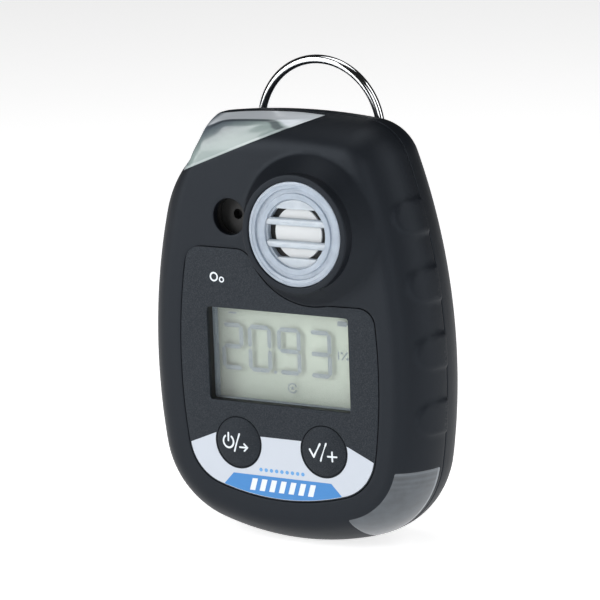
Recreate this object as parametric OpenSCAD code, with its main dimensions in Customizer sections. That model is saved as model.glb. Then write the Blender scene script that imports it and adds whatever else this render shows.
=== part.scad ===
// Portable single-gas detector, worn on a belt or hung from its wire bail.
// Inside this file: X to the right, Y from the front face to the back, Z up, with zero at the
// centre of the display on the front face. The finished model is moved to its clip seat.

/* [Body] */
// Width of the body at its widest level
body_w = 69.3; // [66:0.1:84]
// Height of the body from its lowest to its highest point
body_h = 92.3; // [91:0.1:112]
// Depth from the front face to the seam between the two shells
seam_y = 10.65; // [10.4:0.05:13]
// Wall thickness of both shells
wall = 2; // [1.6:0.1:2.5]
// Thickness of the front face behind the label panel's recess
face_t = 2; // [1.6:0.1:2.6]
// Height that the grip pads stand out from the sides
pad_h = 0.6; // [0.3:0.1:1.2]

/* [Display] */
// Width of the display window
window_w = 34.9; // [30:0.1:38]
// Height of the display window
window_h = 20.3; // [16:0.1:21.5]
// Thickness of the clear display window
window_t = 1; // [0.8:0.1:1.3]
// Thickness of the liquid crystal glass
lcd_t = 2.2; // [1.8:0.1:2.4]

/* [Keys] */
// Diameter of each key
key_d = 11; // [9:0.1:13.2]
// Distance between the two keys' centres
key_pitch = 21.14; // [20.8:0.01:24]
// Travel of each key
key_travel = 0.5; // [0.3:0.05:0.6]

/* [Gas sensor] */
// Diameter of the electrochemical sensor
sensor_d = 20.2; // [18:0.1:24.3]
// Length of the electrochemical sensor
sensor_l = 16.5; // [15:0.1:18]
// Diameter of the buzzer
buzzer_d = 12; // [9.5:0.1:12.4]

/* [Power] */
// Diameter of the half-length lithium cell
battery_d = 14.5; // [13:0.1:17.4]
// Length of the half-length lithium cell
battery_l = 25; // [22:0.1:30]

/* [Bail] */
// Diameter of the bail's wire
wire_d = 2; // [1.6:0.1:2.4]
// Radius of the bail's crown at the middle of the wire
bail_r = 14.7; // [13.5:0.1:17]

/* [Belt clip] */
// Width of the clip
clip_w = 18; // [16:0.5:22]
// Length of the clip's jaw below its pin
jaw_l = 31; // [26:0.5:34]
// Thickness of belt that lies under the closed jaw
belt_gap = 3.2; // [2.5:0.1:4]

/* [Hidden] */

// Clearances: pieces that lie still, pieces that slide, and pins that turn
fit = 0.1;
slide_fit = 0.15;
turn_fit = 0.05;

// Outline of the body: five arcs on each side that run smoothly into each other
display_above_base = 41;
base_z = -display_above_base;
top_z = body_h + base_z;
half_w = body_w / 2;
side_level = -2;
base_r = 64;
low_corner_r = 20.8;
side_r = 130;
top_corner_r = 10.5;
top_r = 150;
least_r = 0.6;
side_c = [half_w - side_r, side_level];
base_c = [0, base_z + base_r];
top_c = [0, top_z - top_r];

// Rounding of the front edge: a tight arc that runs into a wide one ending at the seam
edge_r = 5;
shoulder_r = (seam_y - edge_r * (1 - cos(45))) / sin(45);
front_in = edge_r * sin(45) + shoulder_r * (1 - cos(45));
// Profile of the back, from the seam: straight, rolled over, straight at a lean, tight edge
back_straight = 1.35;
roll_r = 12;
back_lean = 31.4;
back_edge_r = 4;

// Left top corner, cut back for the top lens: a shoulder arc, then a leaning straight edge
shoulder_arc_r = 20;
shoulder_lean = 14.1;
shoulder_c = [-side_c[0], side_c[1]]
    + (side_r - shoulder_arc_r) * [-cos(shoulder_lean), sin(shoulder_lean)];
shoulder_z = side_level + side_r * sin(shoulder_lean);
edge_lean = 25;
edge_at = [11.75 - half_w, top_z - 11.3];
edge_way = [-cos(edge_lean), sin(edge_lean)];
corner_fade = 12;

// Depths, from the front face backwards
panel_t = 0.8;
inner_y = panel_t + face_t;
rebate = 0.6;
window_y = inner_y - rebate;
lcd_y = window_y + window_t + 1.2;
strip_h = 2.1;
board_y = lcd_y + lcd_t + strip_h;
board_t = 1.6;
board_back = board_y + board_t;
battery_y = board_back + 0.9 + battery_d / 2;
back_y = battery_y + battery_d / 2 + 0.5 + wall;
back_depth = back_y - seam_y;

// Places on the front
key_z = -18.86;
key_r = key_d / 2;
key_flange = 1;
sensor_x = 8.73;
sensor_z = top_z - 23.1;
buzzer_x = sensor_x - 19.55;
buzzer_z = sensor_z + 1.5;
sound_hole_r = 3.9;

// Sensor boss, from the sensor outwards
sensor_r = sensor_d / 2;
bore_r = sensor_r + 0.3;
cap_r = sensor_r + 0.9;
lip_r = sensor_r + 2.4;
flare_r = lip_r + 3.3;
tube_r = bore_r + 1.4;
lip_y = -6.1;
lip_l = 2.6;
cap_y = lip_y + 0.2;
cap_t = 2.6;
seal_t = 0.6;
sensor_y = cap_y + cap_t + seal_t;
sensor_back = sensor_y + sensor_l;
upper_y = sensor_back + 0.4;
upper_t = 1.2;
pin_pcd = 13.5;
pin_r = 0.75;
socket_r = 1.5;

// Screws that hold the two shells together
screw_r = 1.1;
insert_r = 1.75;
post_r = 2.8;
head_r = 2.2;
head_t = 1.8;
screw_seat_y = seam_y + 7;
screw_tip_y = inner_y + 1.5;
cover_screw_at = [[half_w - 10.1, sensor_z - 4.2], [half_w - 15.6, -28.5]];

// Main board and its own screws
board_half_w = half_w - 10.6;
board_top = 12.4;
board_low = -27;
tongue_w = 22;
tongue_low = -34.5;
standoff_r = 1.8;
board_screw_at = [[board_half_w - 2.2, 10.2], [board_half_w - 3, -21.8]];

// Lenses
lens_back = seam_y - 1.15;
side_lens_in = 5.6;
side_lens_top = -22;
side_lens_end = 18;
top_lens_slope = 21.6;
top_lens_low = top_z - 3.7;

// Bail
wire_r = wire_d / 2;
bail_y = seam_y + 9.85;
bail_z = top_z - 6.3;
crown_z = top_z - 5.3;
bail_end = 5.5;
slot_half = wire_r + slide_fit;

// Clip
clip_t = 1.6;
clip_y = back_y + clip_t;
jaw_t = 1.2;
pin_z = 5;
hub_r = 2;
clip_pin_r = 1;
hub_proud = 0.15;
hub_y = clip_y + belt_gap + jaw_t + hub_proud - hub_r;
ear_in = clip_w / 2 - 3;
ear_out = clip_w / 2 - 1;
clip_top = pin_z + 13;
clip_low = pin_z - jaw_l - 1;
toe_l = 3;
tab_lean = 24;
seat_z = pin_z - hub_r - (jaw_l - toe_l - hub_r) / 2;
clip_screw_z = [clip_top - 3.5, clip_low + 9];
battery_z = -14;
motor_z = -30.5;
motor_r = 3.5;
motor_l = 14;
motor_y = board_back + 1.1 + motor_r;
motor_x = -9;

smooth = $preview ? 32 : 64;
$fn = smooth;

// ---------- shared shapes ----------

// The finished model has its zero on the clip's rear face, in the middle of the belt seat
module in_frame() {
    translate([0, -clip_y, -seat_z]) children();
}

// Where two circles meet, on the side that pick (1 or -1) chooses
function meet(p, rp, q, rq, pick) =
    let (d = norm(q - p), u = (q - p) / d, a = (rp * rp - rq * rq + d * d) / (2 * d),
        h = sqrt(rp * rp - a * a))
    p + a * u + pick * h * [-u[1], u[0]];

function angle_of(v) = atan2(v[1], v[0]);

function arc(c, r, from, to, steps) =
    [for (i = [0 : steps - 1]) let (a = from + (to - from) * i / steps, n = [cos(a), sin(a)])
        [c + r * n, n]];

// Right half of the body's outline, moved inwards by d, from the lowest point upwards, with
// the number of steps near the top of its side and on its top corner. Each entry is a point
// and the direction that points out of the body there
function half_outline(d, side_steps, corner_steps) =
    let (rl = max(low_corner_r - d, least_r), rc = max(top_corner_r - d, least_r),
        low_c = meet(side_c, side_r - d - rl, base_c, base_r - d - rl, -1),
        high_c = meet(side_c, side_r - d - rc, top_c, top_r - d - rc, 1),
        a1 = angle_of(low_c - base_c), a2 = angle_of(low_c - side_c),
        a3 = angle_of(high_c - side_c), a4 = angle_of(high_c - top_c))
    concat(arc(base_c, base_r - d, -90, a1, 5), arc(low_c, rl, a1, a2, 9),
        arc(side_c, side_r - d, a2, shoulder_lean, 6),
        arc(side_c, side_r - d, shoulder_lean, a3, side_steps),
        arc(high_c, rc, a3, a4, corner_steps),
        arc(top_c, top_r - d, a4, 90, 4), [[[0, top_z - d], [0, 1]]]);

// How far the left top corner lies inside the right one, at outline point p with outward
// direction n: it is cut by a shoulder arc and by the leaning edge of the top lens
function corner_cut(p, n) =
    let (from_c = p - shoulder_c, along = from_c * n,
        under = along * along - from_c * from_c + shoulder_arc_r * shoulder_arc_r,
        to_arc = under > 0 ? along - sqrt(under) : 99,
        out = n * edge_way, to_edge = out > 0.1 ? (p - edge_at) * edge_way / out : 99,
        cut = min(to_arc, to_edge))
    p[0] > shoulder_c[0] || p[1] < shoulder_z || cut > 90 ? 0 : max(0, cut);

function outline(d) =
    let (left = half_outline(d, 10, 14), edge = half_outline(0, 10, 14),
        fade = max(0, 1 - max(d, 0) / corner_fade))
    concat([for (e = half_outline(d, 2, 7)) e[0]], [for (i = [len(left) - 2 : -1 : 1])
        let (p = flip(left[i][0]), n = flip(edge[i][1]))
            p - n * corner_cut(flip(edge[i][0]), n) * fade * fade]);

function flip(p) = [-p[0], p[1]];

// Inset and depth of each ring of the front, from the face to the seam, grown outwards by out
function front_rings(out, deep) = concat(
    [for (a = [0 : 11.25 : 45])
        [front_in - (edge_r + out) * sin(a), edge_r - (edge_r + out) * cos(a)]],
    [for (a = [54 : 9 : 90])
        [shoulder_r - (shoulder_r + out) * sin(a),
            seam_y - (shoulder_r + out) * cos(a)]]);

// The same for the back, from the seam to the back face, moved inwards by skin
function back_rings(skin) =
    let (y1 = seam_y + back_straight, rise = back_depth - back_straight
            - roll_r * sin(back_lean) - back_edge_r * (1 - sin(back_lean)),
        slant = rise / cos(back_lean), r1 = roll_r - skin, r2 = max(back_edge_r - skin, 1),
        in2 = roll_r * (1 - cos(back_lean)) + slant * sin(back_lean),
        y2 = y1 + roll_r * sin(back_lean) + rise, c2 = back_edge_r)
    concat([[skin, seam_y]],
        [for (a = [0 : back_lean / 4 : back_lean + 0.01])
            [roll_r - r1 * cos(a), y1 + r1 * sin(a)]],
        [for (i = [0 : 5]) let (a = back_lean + (90 - back_lean) * i / 5)
            [in2 + c2 * cos(back_lean) - (c2 - skin) * cos(a),
                y2 + (c2 - skin) * sin(a) - c2 * sin(back_lean)]]);

// Solid whose section at each ring is the outline at that inset and depth
module loft(rings) {
    n = len(outline(0));
    last = len(rings) - 1;
    points = [for (r = rings) for (p = outline(r[0])) [p[0], r[1], p[1]]];
    front = [[for (i = [n - 1 : -1 : 0]) i]];
    back = [[for (i = [0 : n - 1]) last * n + i]];
    sides = [for (k = [0 : last - 1]) for (i = [0 : n - 1])
        let (a = k * n + i, b = k * n + (i + 1) % n)
        each [[a, b, a + n], [b, b + n, a + n]]];
    polyhedron(points = points, faces = concat(front, back, sides), convexity = 6);
}

// Turns a shape drawn with its axis along Z so that its axis runs backwards along Y
module facing(x, y, z) {
    translate([x, y, z]) rotate([-90, 0, 0]) children();
}

// Cylinder along Y, from depth y to depth y + l
module rod_y(x, y, z, r, l) {
    facing(x, y, z) cylinder(r = r, h = l);
}

// Ring along Y
module ring_y(x, y, z, r, hole_r, l) {
    facing(x, y, z) difference() {
        cylinder(r = r, h = l);
        translate([0, 0, -1]) cylinder(r = hole_r, h = l + 2);
    }
}

// Cylinder along X, from x to x + l
module rod_x(x, y, z, r, l) {
    translate([x, y, z]) rotate([0, 90, 0]) cylinder(r = r, h = l);
}

// Flat shape given in X and Z, from depth y to depth y + l
module plate_y(y, l) {
    translate([0, y + l, 0]) rotate([90, 0, 0]) linear_extrude(l) children();
}

// Block centred on x and z, from depth y to depth y + l
module block_y(x, y, z, w, l, h) {
    translate([x - w / 2, y, z - h / 2]) cube([w, l, h]);
}

module both_sides() {
    for (side = [1, -1]) scale_x(side) children();
}

module scale_x(side) {
    if (side > 0) children();
    else mirror([1, 0, 0]) children();
}

// ---------- flat outlines ----------

// Outline of the label panel: it follows the body, and steps round the sensor boss
module panel_shape(gap) {
    panel_in = 10.2;
    corner = 4;
    high = sensor_z - 5.1;
    low = window_h / 2 + 2.4;
    offset(r = corner, $fn = 32) offset(delta = -corner - gap) intersection() {
        polygon(outline(panel_in));
        difference() {
            union() {
                translate([-body_w, low - body_h]) square([2 * body_w, body_h]);
                translate([-body_w, high - body_h]) square([body_w + sensor_x, body_h]);
            }
            translate([sensor_x, sensor_z]) circle(flare_r + 0.2);
        }
    }
}

// Region of the top lens in the front view, above its slanted lower edge
module top_lens_shape(gap) {
    tip = [12.45 - half_w, top_z - 13.1];
    tip_lean = 26.6;
    far = 60;
    intersection() {
        translate([0, top_lens_low + gap]) rotate(top_lens_slope)
            translate([-far, 0]) square([2 * far, far]);
        translate(tip + [gap, 0]) rotate(tip_lean) translate([0, -far])
            square([far, 2 * far]);
    }
}

// Region of the right lens in the front view
module side_lens_shape(gap) {
    far = 30;
    end_lean = 25;
    difference() {
        translate([0, side_lens_top - gap - far]) square([half_w + far, far]);
        polygon(outline(side_lens_in - gap));
        translate([side_lens_end + gap, base_z + 3]) rotate(end_lean)
            translate([-far, -far]) square([far, 2 * far]);
    }
}

module body_front(out) {
    loft(front_rings(out));
}

// Hollow of the front shell
module front_hollow() {
    rings = [for (r = front_rings(0)) if (r[1] > inner_y) [r[0] + wall, r[1]]];
    loft(concat([[rings[0][0] + 1.2, inner_y]], rings, [[wall, seam_y + 1]]));
}

module lens_solid() {
    difference() {
        intersection() {
            body_front(0);
            plate_y(-2, lens_back - fit + 2) children();
        }
        front_hollow();
    }
}

// ---------- casing ----------

module grip_pads() {
    pad_w = 8;
    pad_front = 2.2;
    for (z = [-11 : 14 : sensor_z + 4]) {
        translate([0, pad_front + pad_w / 2, z]) rotate([0, 90, 0])
            cylinder(d = pad_w, h = body_w);
        translate([0, pad_front + pad_w / 2, z - pad_w / 2])
            cube([body_w, seam_y - pad_front - pad_w / 2 - 0.2, pad_w]);
    }
}

module boss() {
    root = 1.5;
    facing(sensor_x, lip_y, sensor_z) rotate_extrude() polygon([[0, 0], [lip_r, 0],
        [lip_r, lip_l], [flare_r, -lip_y], [flare_r, root - lip_y], [0, root - lip_y]]);
}

module front_shell() in_frame() color([0.17, 0.18, 0.2]) {
    difference() {
        union() {
            body_front(0);
            intersection() {
                body_front(pad_h);
                grip_pads();
            }
            boss();
        }
        difference() {
            front_hollow();
            rod_y(sensor_x, 0, sensor_z, tube_r, upper_y);
            ring_y(buzzer_x, 0, buzzer_z, buzzer_d / 2 + 1.2, buzzer_d / 2 + fit, inner_y + 5);
            both_sides() {
                for (p = cover_screw_at) rod_y(p[0], 0, p[1], post_r, seam_y);
                for (p = board_screw_at) rod_y(p[0], 0, p[1], standoff_r, board_y);
            }
        }
        plate_y(-1, panel_t + 1) panel_shape(-fit);
        block_y(0, -1, 0, window_w, inner_y + 2, window_h);
        block_y(0, window_y, 0, window_w + 2.6, 3, window_h + 2.6);
        for (x = [-1, 1])
            rod_y(x * key_pitch / 2, -1, key_z, key_r + slide_fit, inner_y + 2);
        rod_y(sensor_x, lip_y - 1, sensor_z, cap_r + fit, cap_y + cap_t - lip_y + 1);
        rod_y(sensor_x, lip_y, sensor_z, bore_r, 60);
        rod_y(buzzer_x, -1, buzzer_z, sound_hole_r, inner_y + 2);
        plate_y(-2, lens_back + 2) top_lens_shape(0);
        plate_y(-2, lens_back + 2) side_lens_shape(0);
        both_sides() {
            for (p = cover_screw_at) rod_y(p[0], screw_tip_y - 0.5, p[1], insert_r, seam_y);
            for (p = board_screw_at) rod_y(p[0], board_y - 4, p[1], screw_r, 5);
        }
        plate_y(seam_y - 0.5, 2) seal_groove();
    }
}

module seal_groove() {
    difference() {
        polygon(outline(0.5));
        polygon(outline(1.5));
    }
}

module housing_seal() in_frame() color([0.12, 0.12, 0.13]) {
    plate_y(seam_y - 0.5, 1) difference() {
        polygon(outline(0.5 + fit / 2));
        polygon(outline(1.5 - fit / 2));
    }
}

// Blocks in the rear cover that carry the ends of the bail
module bail_blocks() {
    both_sides() translate([bail_r - bail_end - 1.5, bail_y - slot_half - 1.6, bail_z - 4.4])
        cube([bail_end + slot_half + 3.1, 60, 60]);
}

// Room that the bail passes through as it folds back about its ends
module bail_sweep() {
    rise = crown_z - bail_z;
    room = 60;
    intersection() {
        translate([0, bail_y, bail_z]) rotate([0, 90, 0]) rotate_extrude() union() {
            translate([rise, 0]) intersection() {
                difference() {
                    circle(bail_r + slot_half);
                    circle(bail_r - slot_half);
                }
                translate([0, -room]) square([room, 2 * room]);
            }
            for (side = [-1, 1]) translate([0, side * bail_r - slot_half])
                square([rise, 2 * slot_half]);
        }
        translate([-room, bail_y - slot_half, bail_z - slot_half]) cube(2 * room);
    }
}

module rear_cover() in_frame() color([0.15, 0.16, 0.18]) {
    hollow = concat([[wall, seam_y - 1]], back_rings(wall));
    difference() {
        loft(back_rings(0));
        difference() {
            loft(hollow);
            bail_blocks();
            both_sides() for (p = cover_screw_at)
                rod_y(p[0], seam_y, p[1], head_r + 1.4, back_depth);
            rod_y(sensor_x, upper_y + upper_t, sensor_z + sensor_r + 0.2, 1.6, back_depth);
        }
        both_sides() {
            for (p = cover_screw_at) {
                rod_y(p[0], seam_y - 1, p[1], screw_r + slide_fit, back_depth);
                rod_y(p[0], screw_seat_y, p[1], head_r + slide_fit, back_depth);
            }
            rod_x(bail_r - bail_end - 0.2, bail_y, bail_z, wire_r + turn_fit, bail_end + 0.4);
        }
        bail_sweep();
        for (z = clip_screw_z) rod_y(0, back_y - wall - 1, z, screw_r, wall + 2);
        plate_y(seam_y - 1, 1.5) seal_groove();
    }
}

module screw(y, l) {
    difference() {
        union() {
            rod_y(0, y - head_t, 0, head_r, head_t);
            rod_y(0, y - head_t - l, 0, screw_r, l + 0.5);
        }
        rod_y(0, y - 1, 0, 0.9, 2);
    }
}

module cover_screws() in_frame() color([0.6, 0.6, 0.62]) {
    both_sides() for (p = cover_screw_at)
        translate([p[0], 0, p[1]])
            screw(screw_seat_y + head_t, screw_seat_y - screw_tip_y);
}

module screw_inserts() in_frame() color([0.75, 0.6, 0.3]) {
    both_sides() for (p = cover_screw_at)
        ring_y(p[0], screw_tip_y, p[1], insert_r, screw_r, seam_y - screw_tip_y - 0.2);
}

module label_panel() in_frame() color([0.2, 0.21, 0.22]) {
    difference() {
        plate_y(0, panel_t) panel_shape(fit);
        block_y(0, -1, 0, window_w, panel_t + 2, window_h);
        for (x = [-1, 1]) rod_y(x * key_pitch / 2, -1, key_z, key_r + slide_fit, panel_t + 2);
    }
}

// ---------- display ----------

module display_window() in_frame() color([0.8, 0.9, 0.9, 0.4]) {
    block_y(0, window_y, 0, window_w + 2.4, window_t, window_h + 2.4);
}

module lcd_glass() in_frame() color([0.72, 0.77, 0.73]) {
    block_y(0, lcd_y, 0, window_w + 2.6, lcd_t, window_h + 2.8);
}

module lcd_frame() in_frame() color([0.85, 0.86, 0.86]) {
    y = window_y + window_t;
    difference() {
        block_y(0, y, 0, window_w + 5, board_y - y, window_h + 4.4);
        block_y(0, y - 1, 0, window_w, 30, window_h);
        block_y(0, lcd_y, 0, window_w + 2.6, 30, window_h + 2.8);
    }
}

module lcd_contact_strips() in_frame() color([0.3, 0.3, 0.32]) {
    for (side = [-1, 1])
        block_y(0, lcd_y + lcd_t, side * (window_h / 2 - 0.6), window_w - 4, strip_h, 1.6);
}

// ---------- keys ----------

module key(side) {
    dome_h = 0.7;
    dome_r = (key_r * key_r + dome_h * dome_h) / (2 * dome_h);
    flange_y = inner_y + 0.1;
    facing(side * key_pitch / 2, 0, key_z) {
        intersection() {
            translate([0, 0, dome_r - dome_h]) sphere(r = dome_r, $fn = 96);
            translate([0, 0, -5]) cylinder(r = key_r, h = 5 + flange_y);
        }
        translate([0, 0, flange_y - 0.01]) cylinder(r = key_r + key_flange, h = 0.7);
        translate([0, 0, flange_y]) cylinder(r = 2, h = 1.5);
    }
}

module plunger(side) {
    rod_y(side * key_pitch / 2, inner_y + 1.6, key_z, 1.5, 2.2);
}

module power_key() in_frame() color([0.16, 0.17, 0.19]) key(-1);

module menu_key() in_frame() color([0.16, 0.17, 0.19]) key(1);

module power_switch_plunger() in_frame() color([0.7, 0.7, 0.7]) plunger(-1);

module menu_switch_plunger() in_frame() color([0.7, 0.7, 0.7]) plunger(1);

module key_switches() in_frame() color([0.25, 0.25, 0.27]) {
    top = inner_y + 2.7;
    for (x = [-1, 1]) difference() {
        block_y(x * key_pitch / 2, top, key_z, 6, board_y - top, 6);
        rod_y(x * key_pitch / 2, top - 1, key_z, 1.5 + fit, 1 + key_travel + 1.8);
    }
}

// ---------- gas sensor ----------

module sensor_cap() in_frame() color([0.82, 0.86, 0.9, 0.8]) {
    vent_r = 7;
    difference() {
        rod_y(sensor_x, cap_y, sensor_z, cap_r, cap_t);
        ring_y(sensor_x, cap_y - 1, sensor_z, cap_r - 1.6, vent_r + 1, 1.5);
        for (z = [-4.6, 0, 4.6]) intersection() {
            rod_y(sensor_x, cap_y - 1, sensor_z, vent_r, cap_t);
            block_y(sensor_x, cap_y - 1, sensor_z + z, 20, cap_t, 3.4);
        }
        rod_y(sensor_x, cap_y + 1.4, sensor_z, vent_r + 0.3, cap_t);
    }
}

module sensor_filter() in_frame() color([0.97, 0.97, 0.96]) {
    rod_y(sensor_x, cap_y + cap_t - 0.8, sensor_z, 6.2, 0.8 + seal_t);
}

module sensor_seal() in_frame() color([0.2, 0.2, 0.2]) {
    ring_y(sensor_x, cap_y + cap_t, sensor_z, sensor_r - 0.3, 6.3, seal_t);
}

module at_sensor_pins() {
    for (a = [90, 210, 330])
        translate([sensor_x + pin_pcd / 2 * cos(a), 0, sensor_z + pin_pcd / 2 * sin(a)])
            children();
}

module gas_sensor() in_frame() color([0.9, 0.9, 0.88]) {
    rod_y(sensor_x, sensor_y, sensor_z, sensor_r, sensor_l);
    at_sensor_pins() rod_y(0, sensor_back - 0.5, 0, pin_r, 3.8);
}

module sensor_sockets() in_frame() color([0.8, 0.68, 0.35]) {
    at_sensor_pins() ring_y(0, sensor_back + 0.1, 0, socket_r, pin_r + 0.03, 4.2);
}

module upper_board() in_frame() color([0.1, 0.35, 0.2]) {
    tab_w = 14;
    tab_low = board_top - 6;
    difference() {
        plate_y(upper_y, upper_t) union() {
            translate([sensor_x, sensor_z]) circle(tube_r + 0.5);
            translate([buzzer_x, buzzer_z]) circle(buzzer_d / 2 + 1);
            translate([buzzer_x, sensor_z - 3]) square([sensor_x - buzzer_x, 6]);
            translate([buzzer_x - 4, buzzer_z]) square([8, 11]);
            translate([sensor_x - tab_w / 2, tab_low]) square([tab_w, sensor_z - tab_low]);
        }
        at_sensor_pins() rod_y(0, upper_y - 1, 0, socket_r, upper_t + 2);
        for (x = [-1, 1])
            rod_y(buzzer_x + 3.2 * x, upper_y - 1, buzzer_z, 0.5, upper_t + 2);
    }
}

module board_header() in_frame() color([0.13, 0.13, 0.14]) {
    block_y(sensor_x, board_back, board_top - 3.2, 10, upper_y - board_back, 4.6);
}

module buzzer() in_frame() color([0.14, 0.14, 0.15]) {
    y = inner_y + 0.8;
    difference() {
        rod_y(buzzer_x, y, buzzer_z, buzzer_d / 2, upper_y - y - 0.6);
        rod_y(buzzer_x, y - 1, buzzer_z, 1.1, 3);
    }
    for (x = [-1, 1]) rod_y(buzzer_x + 3.2 * x, upper_y - 1, buzzer_z, 0.35, upper_t + 1.6);
}

module buzzer_seal() in_frame() color([0.3, 0.3, 0.3]) {
    ring_y(buzzer_x, inner_y, buzzer_z, buzzer_d / 2 - 0.2, sound_hole_r + 0.2, 0.8);
}

// ---------- lenses and lamps ----------

module top_lens() in_frame() color([0.8, 0.86, 0.82, 0.6]) lens_solid() top_lens_shape(fit);

module right_lens() in_frame() color([0.6, 0.64, 0.68, 0.6]) lens_solid() side_lens_shape(fit);

module led(x, y, z, l) {
    rod_y(x, y - l + 1.2, z, 1.4, l - 1.2);
    translate([x, y - l + 1.2, z]) sphere(r = 1.4);
}

module alarm_leds() in_frame() color([0.9, 0.5, 0.45]) {
    for (x = [-2.5, 2.5]) led(buzzer_x + x, upper_y, buzzer_z + 9, 5.6);
    led(12.6, board_y, board_low + 2, 3.4);
}

// ---------- electronics ----------

module main_board() in_frame() color([0.08, 0.32, 0.18]) {
    difference() {
        plate_y(board_y, board_t) union() {
            translate([-board_half_w, board_low])
                square([2 * board_half_w, board_top - board_low]);
            translate([-tongue_w / 2, tongue_low])
                square([tongue_w, board_low - tongue_low + 1]);
        }
        both_sides() {
            for (p = cover_screw_at) rod_y(p[0], 0, p[1], post_r + 0.8, back_y);
            for (p = board_screw_at) rod_y(p[0], 0, p[1], screw_r + 0.1, back_y);
        }
    }
}

module board_screws() in_frame() color([0.7, 0.7, 0.72]) {
    both_sides() for (p = board_screw_at)
        translate([p[0], 0, p[1]]) {
            rod_y(0, board_back, 0, 1.9, 1.1);
            rod_y(0, board_back - board_t - 3.5, 0, screw_r, board_t + 4);
        }
}

module board_chips() in_frame() color([0.1, 0.1, 0.11]) {
    gap = 4;
    x = battery_l / 2 + gap;
    block_y(-x + 10, board_back, 4, 10, 1.4, 10);
    block_y(-x - 0.5, board_back, 6, 5, 1, 4);
    block_y(x - 0.2, board_back, -3, 6, 1.2, 5);
    for (i = [0 : 3]) block_y(2.5 * i - 22 + gap, board_back, -4, 1.2, 0.6, 1.8);
}

module battery() in_frame() color([0.25, 0.35, 0.55]) {
    rod_x(-battery_l / 2, battery_y, battery_z, battery_d / 2, battery_l);
}

module battery_holder() in_frame() color([0.13, 0.13, 0.14]) {
    reach = battery_l / 2 + 0.4;
    depth = battery_d * 0.75;
    difference() {
        block_y(0, board_back, battery_z, 2 * reach + 3, depth, battery_d + 1);
        block_y(0, board_back + 0.6, battery_z, 2 * reach, depth, battery_d + 2);
    }
}

module battery_contacts() in_frame() color([0.8, 0.75, 0.6]) {
    both_sides() translate([battery_l / 2, battery_y - 3.5, battery_z - 3.5])
        cube([0.4, 7, 7]);
}

module vibration_motor() in_frame() color([0.7, 0.7, 0.7]) {
    rod_x(motor_x, motor_y, motor_z, motor_r, motor_l);
    rod_x(motor_x + motor_l - 0.5, motor_y, motor_z, 0.5, 5.5);
}

module vibration_weight() in_frame() color([0.6, 0.58, 0.55]) {
    x = motor_x + motor_l + 0.6;
    difference() {
        union() {
            rod_x(x, motor_y, motor_z, 1.3, 3.6);
            intersection() {
                rod_x(x, motor_y, motor_z, 3, 3.6);
                translate([x, motor_y - 4, motor_z - 4]) cube([3.6, 8, 4]);
            }
        }
        rod_x(x - 1, motor_y, motor_z, 0.55, 6);
    }
}

module motor_bracket() in_frame() color([0.75, 0.75, 0.76]) {
    difference() {
        union() {
            rod_x(motor_x + 2, motor_y, motor_z, motor_r + 0.8, motor_l - 4);
            block_y(motor_x + motor_l / 2, board_back, motor_z, motor_l - 4, 2, 7.2);
        }
        rod_x(motor_x, motor_y, motor_z, motor_r, motor_l);
        block_y(motor_x + motor_l / 2, motor_y + 1.5, motor_z, 30, 20, 20);
        block_y(motor_x + motor_l / 2, board_back - 5, motor_z, 30, 5, 20);
    }
}

// ---------- bail ----------

module wire_bail() in_frame() color([0.85, 0.86, 0.88]) {
    translate([0, bail_y, crown_z]) rotate([90, 0, 0])
        rotate_extrude(angle = 180) translate([bail_r, 0]) circle(wire_r);
    both_sides() {
        translate([bail_r, bail_y, bail_z]) cylinder(r = wire_r, h = crown_z - bail_z);
        translate([bail_r, bail_y, bail_z]) sphere(wire_r);
        rod_x(bail_r - bail_end, bail_y, bail_z, wire_r, bail_end);
    }
}

// ---------- belt clip ----------

module clip_base() in_frame() color([0.72, 0.73, 0.75]) {
    difference() {
        union() {
            block_y(0, back_y, (clip_top + clip_low) / 2, clip_w, clip_t, clip_top - clip_low);
            both_sides() {
                translate([ear_in, back_y, pin_z - hub_r])
                    cube([ear_out - ear_in, hub_y - back_y, 2 * hub_r]);
                rod_x(ear_in, hub_y, pin_z, hub_r, ear_out - ear_in);
            }
        }
        rod_x(-clip_w, hub_y, pin_z, clip_pin_r + turn_fit, 2 * clip_w);
        for (z = clip_screw_z) {
            rod_y(0, back_y - 1, z, screw_r + 0.1, 4);
            rod_y(0, clip_y - 0.8, z, head_r + 0.2, 2);
        }
    }
}

module clip_jaw() in_frame() color([0.78, 0.79, 0.81]) {
    half = ear_in - 0.3;
    back = hub_y + hub_r - hub_proud;
    low = pin_z - jaw_l;
    tab_l = 11;
    spring_room = 2.2;
    difference() {
        union() {
            rod_x(-half, hub_y, pin_z, hub_r, 2 * half);
            translate([-half, back - jaw_t, low]) cube([2 * half, jaw_t, jaw_l]);
            translate([-half, clip_y + 0.15, low]) cube([2 * half, back - clip_y - 0.15, 1.2]);
            translate([-half, back - jaw_t, pin_z]) rotate([-tab_lean, 0, 0])
                cube([2 * half, jaw_t, tab_l]);
        }
        rod_x(-clip_w, hub_y, pin_z, clip_pin_r + turn_fit, 2 * clip_w);
        block_y(0, hub_y - hub_r - 1, pin_z, 2 * spring_room, 4 * hub_r, 2 * hub_r + 0.4);
    }
}

module clip_pin() in_frame() color([0.6, 0.6, 0.62]) {
    rod_x(-ear_out, hub_y, pin_z, clip_pin_r, 2 * ear_out);
}

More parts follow.
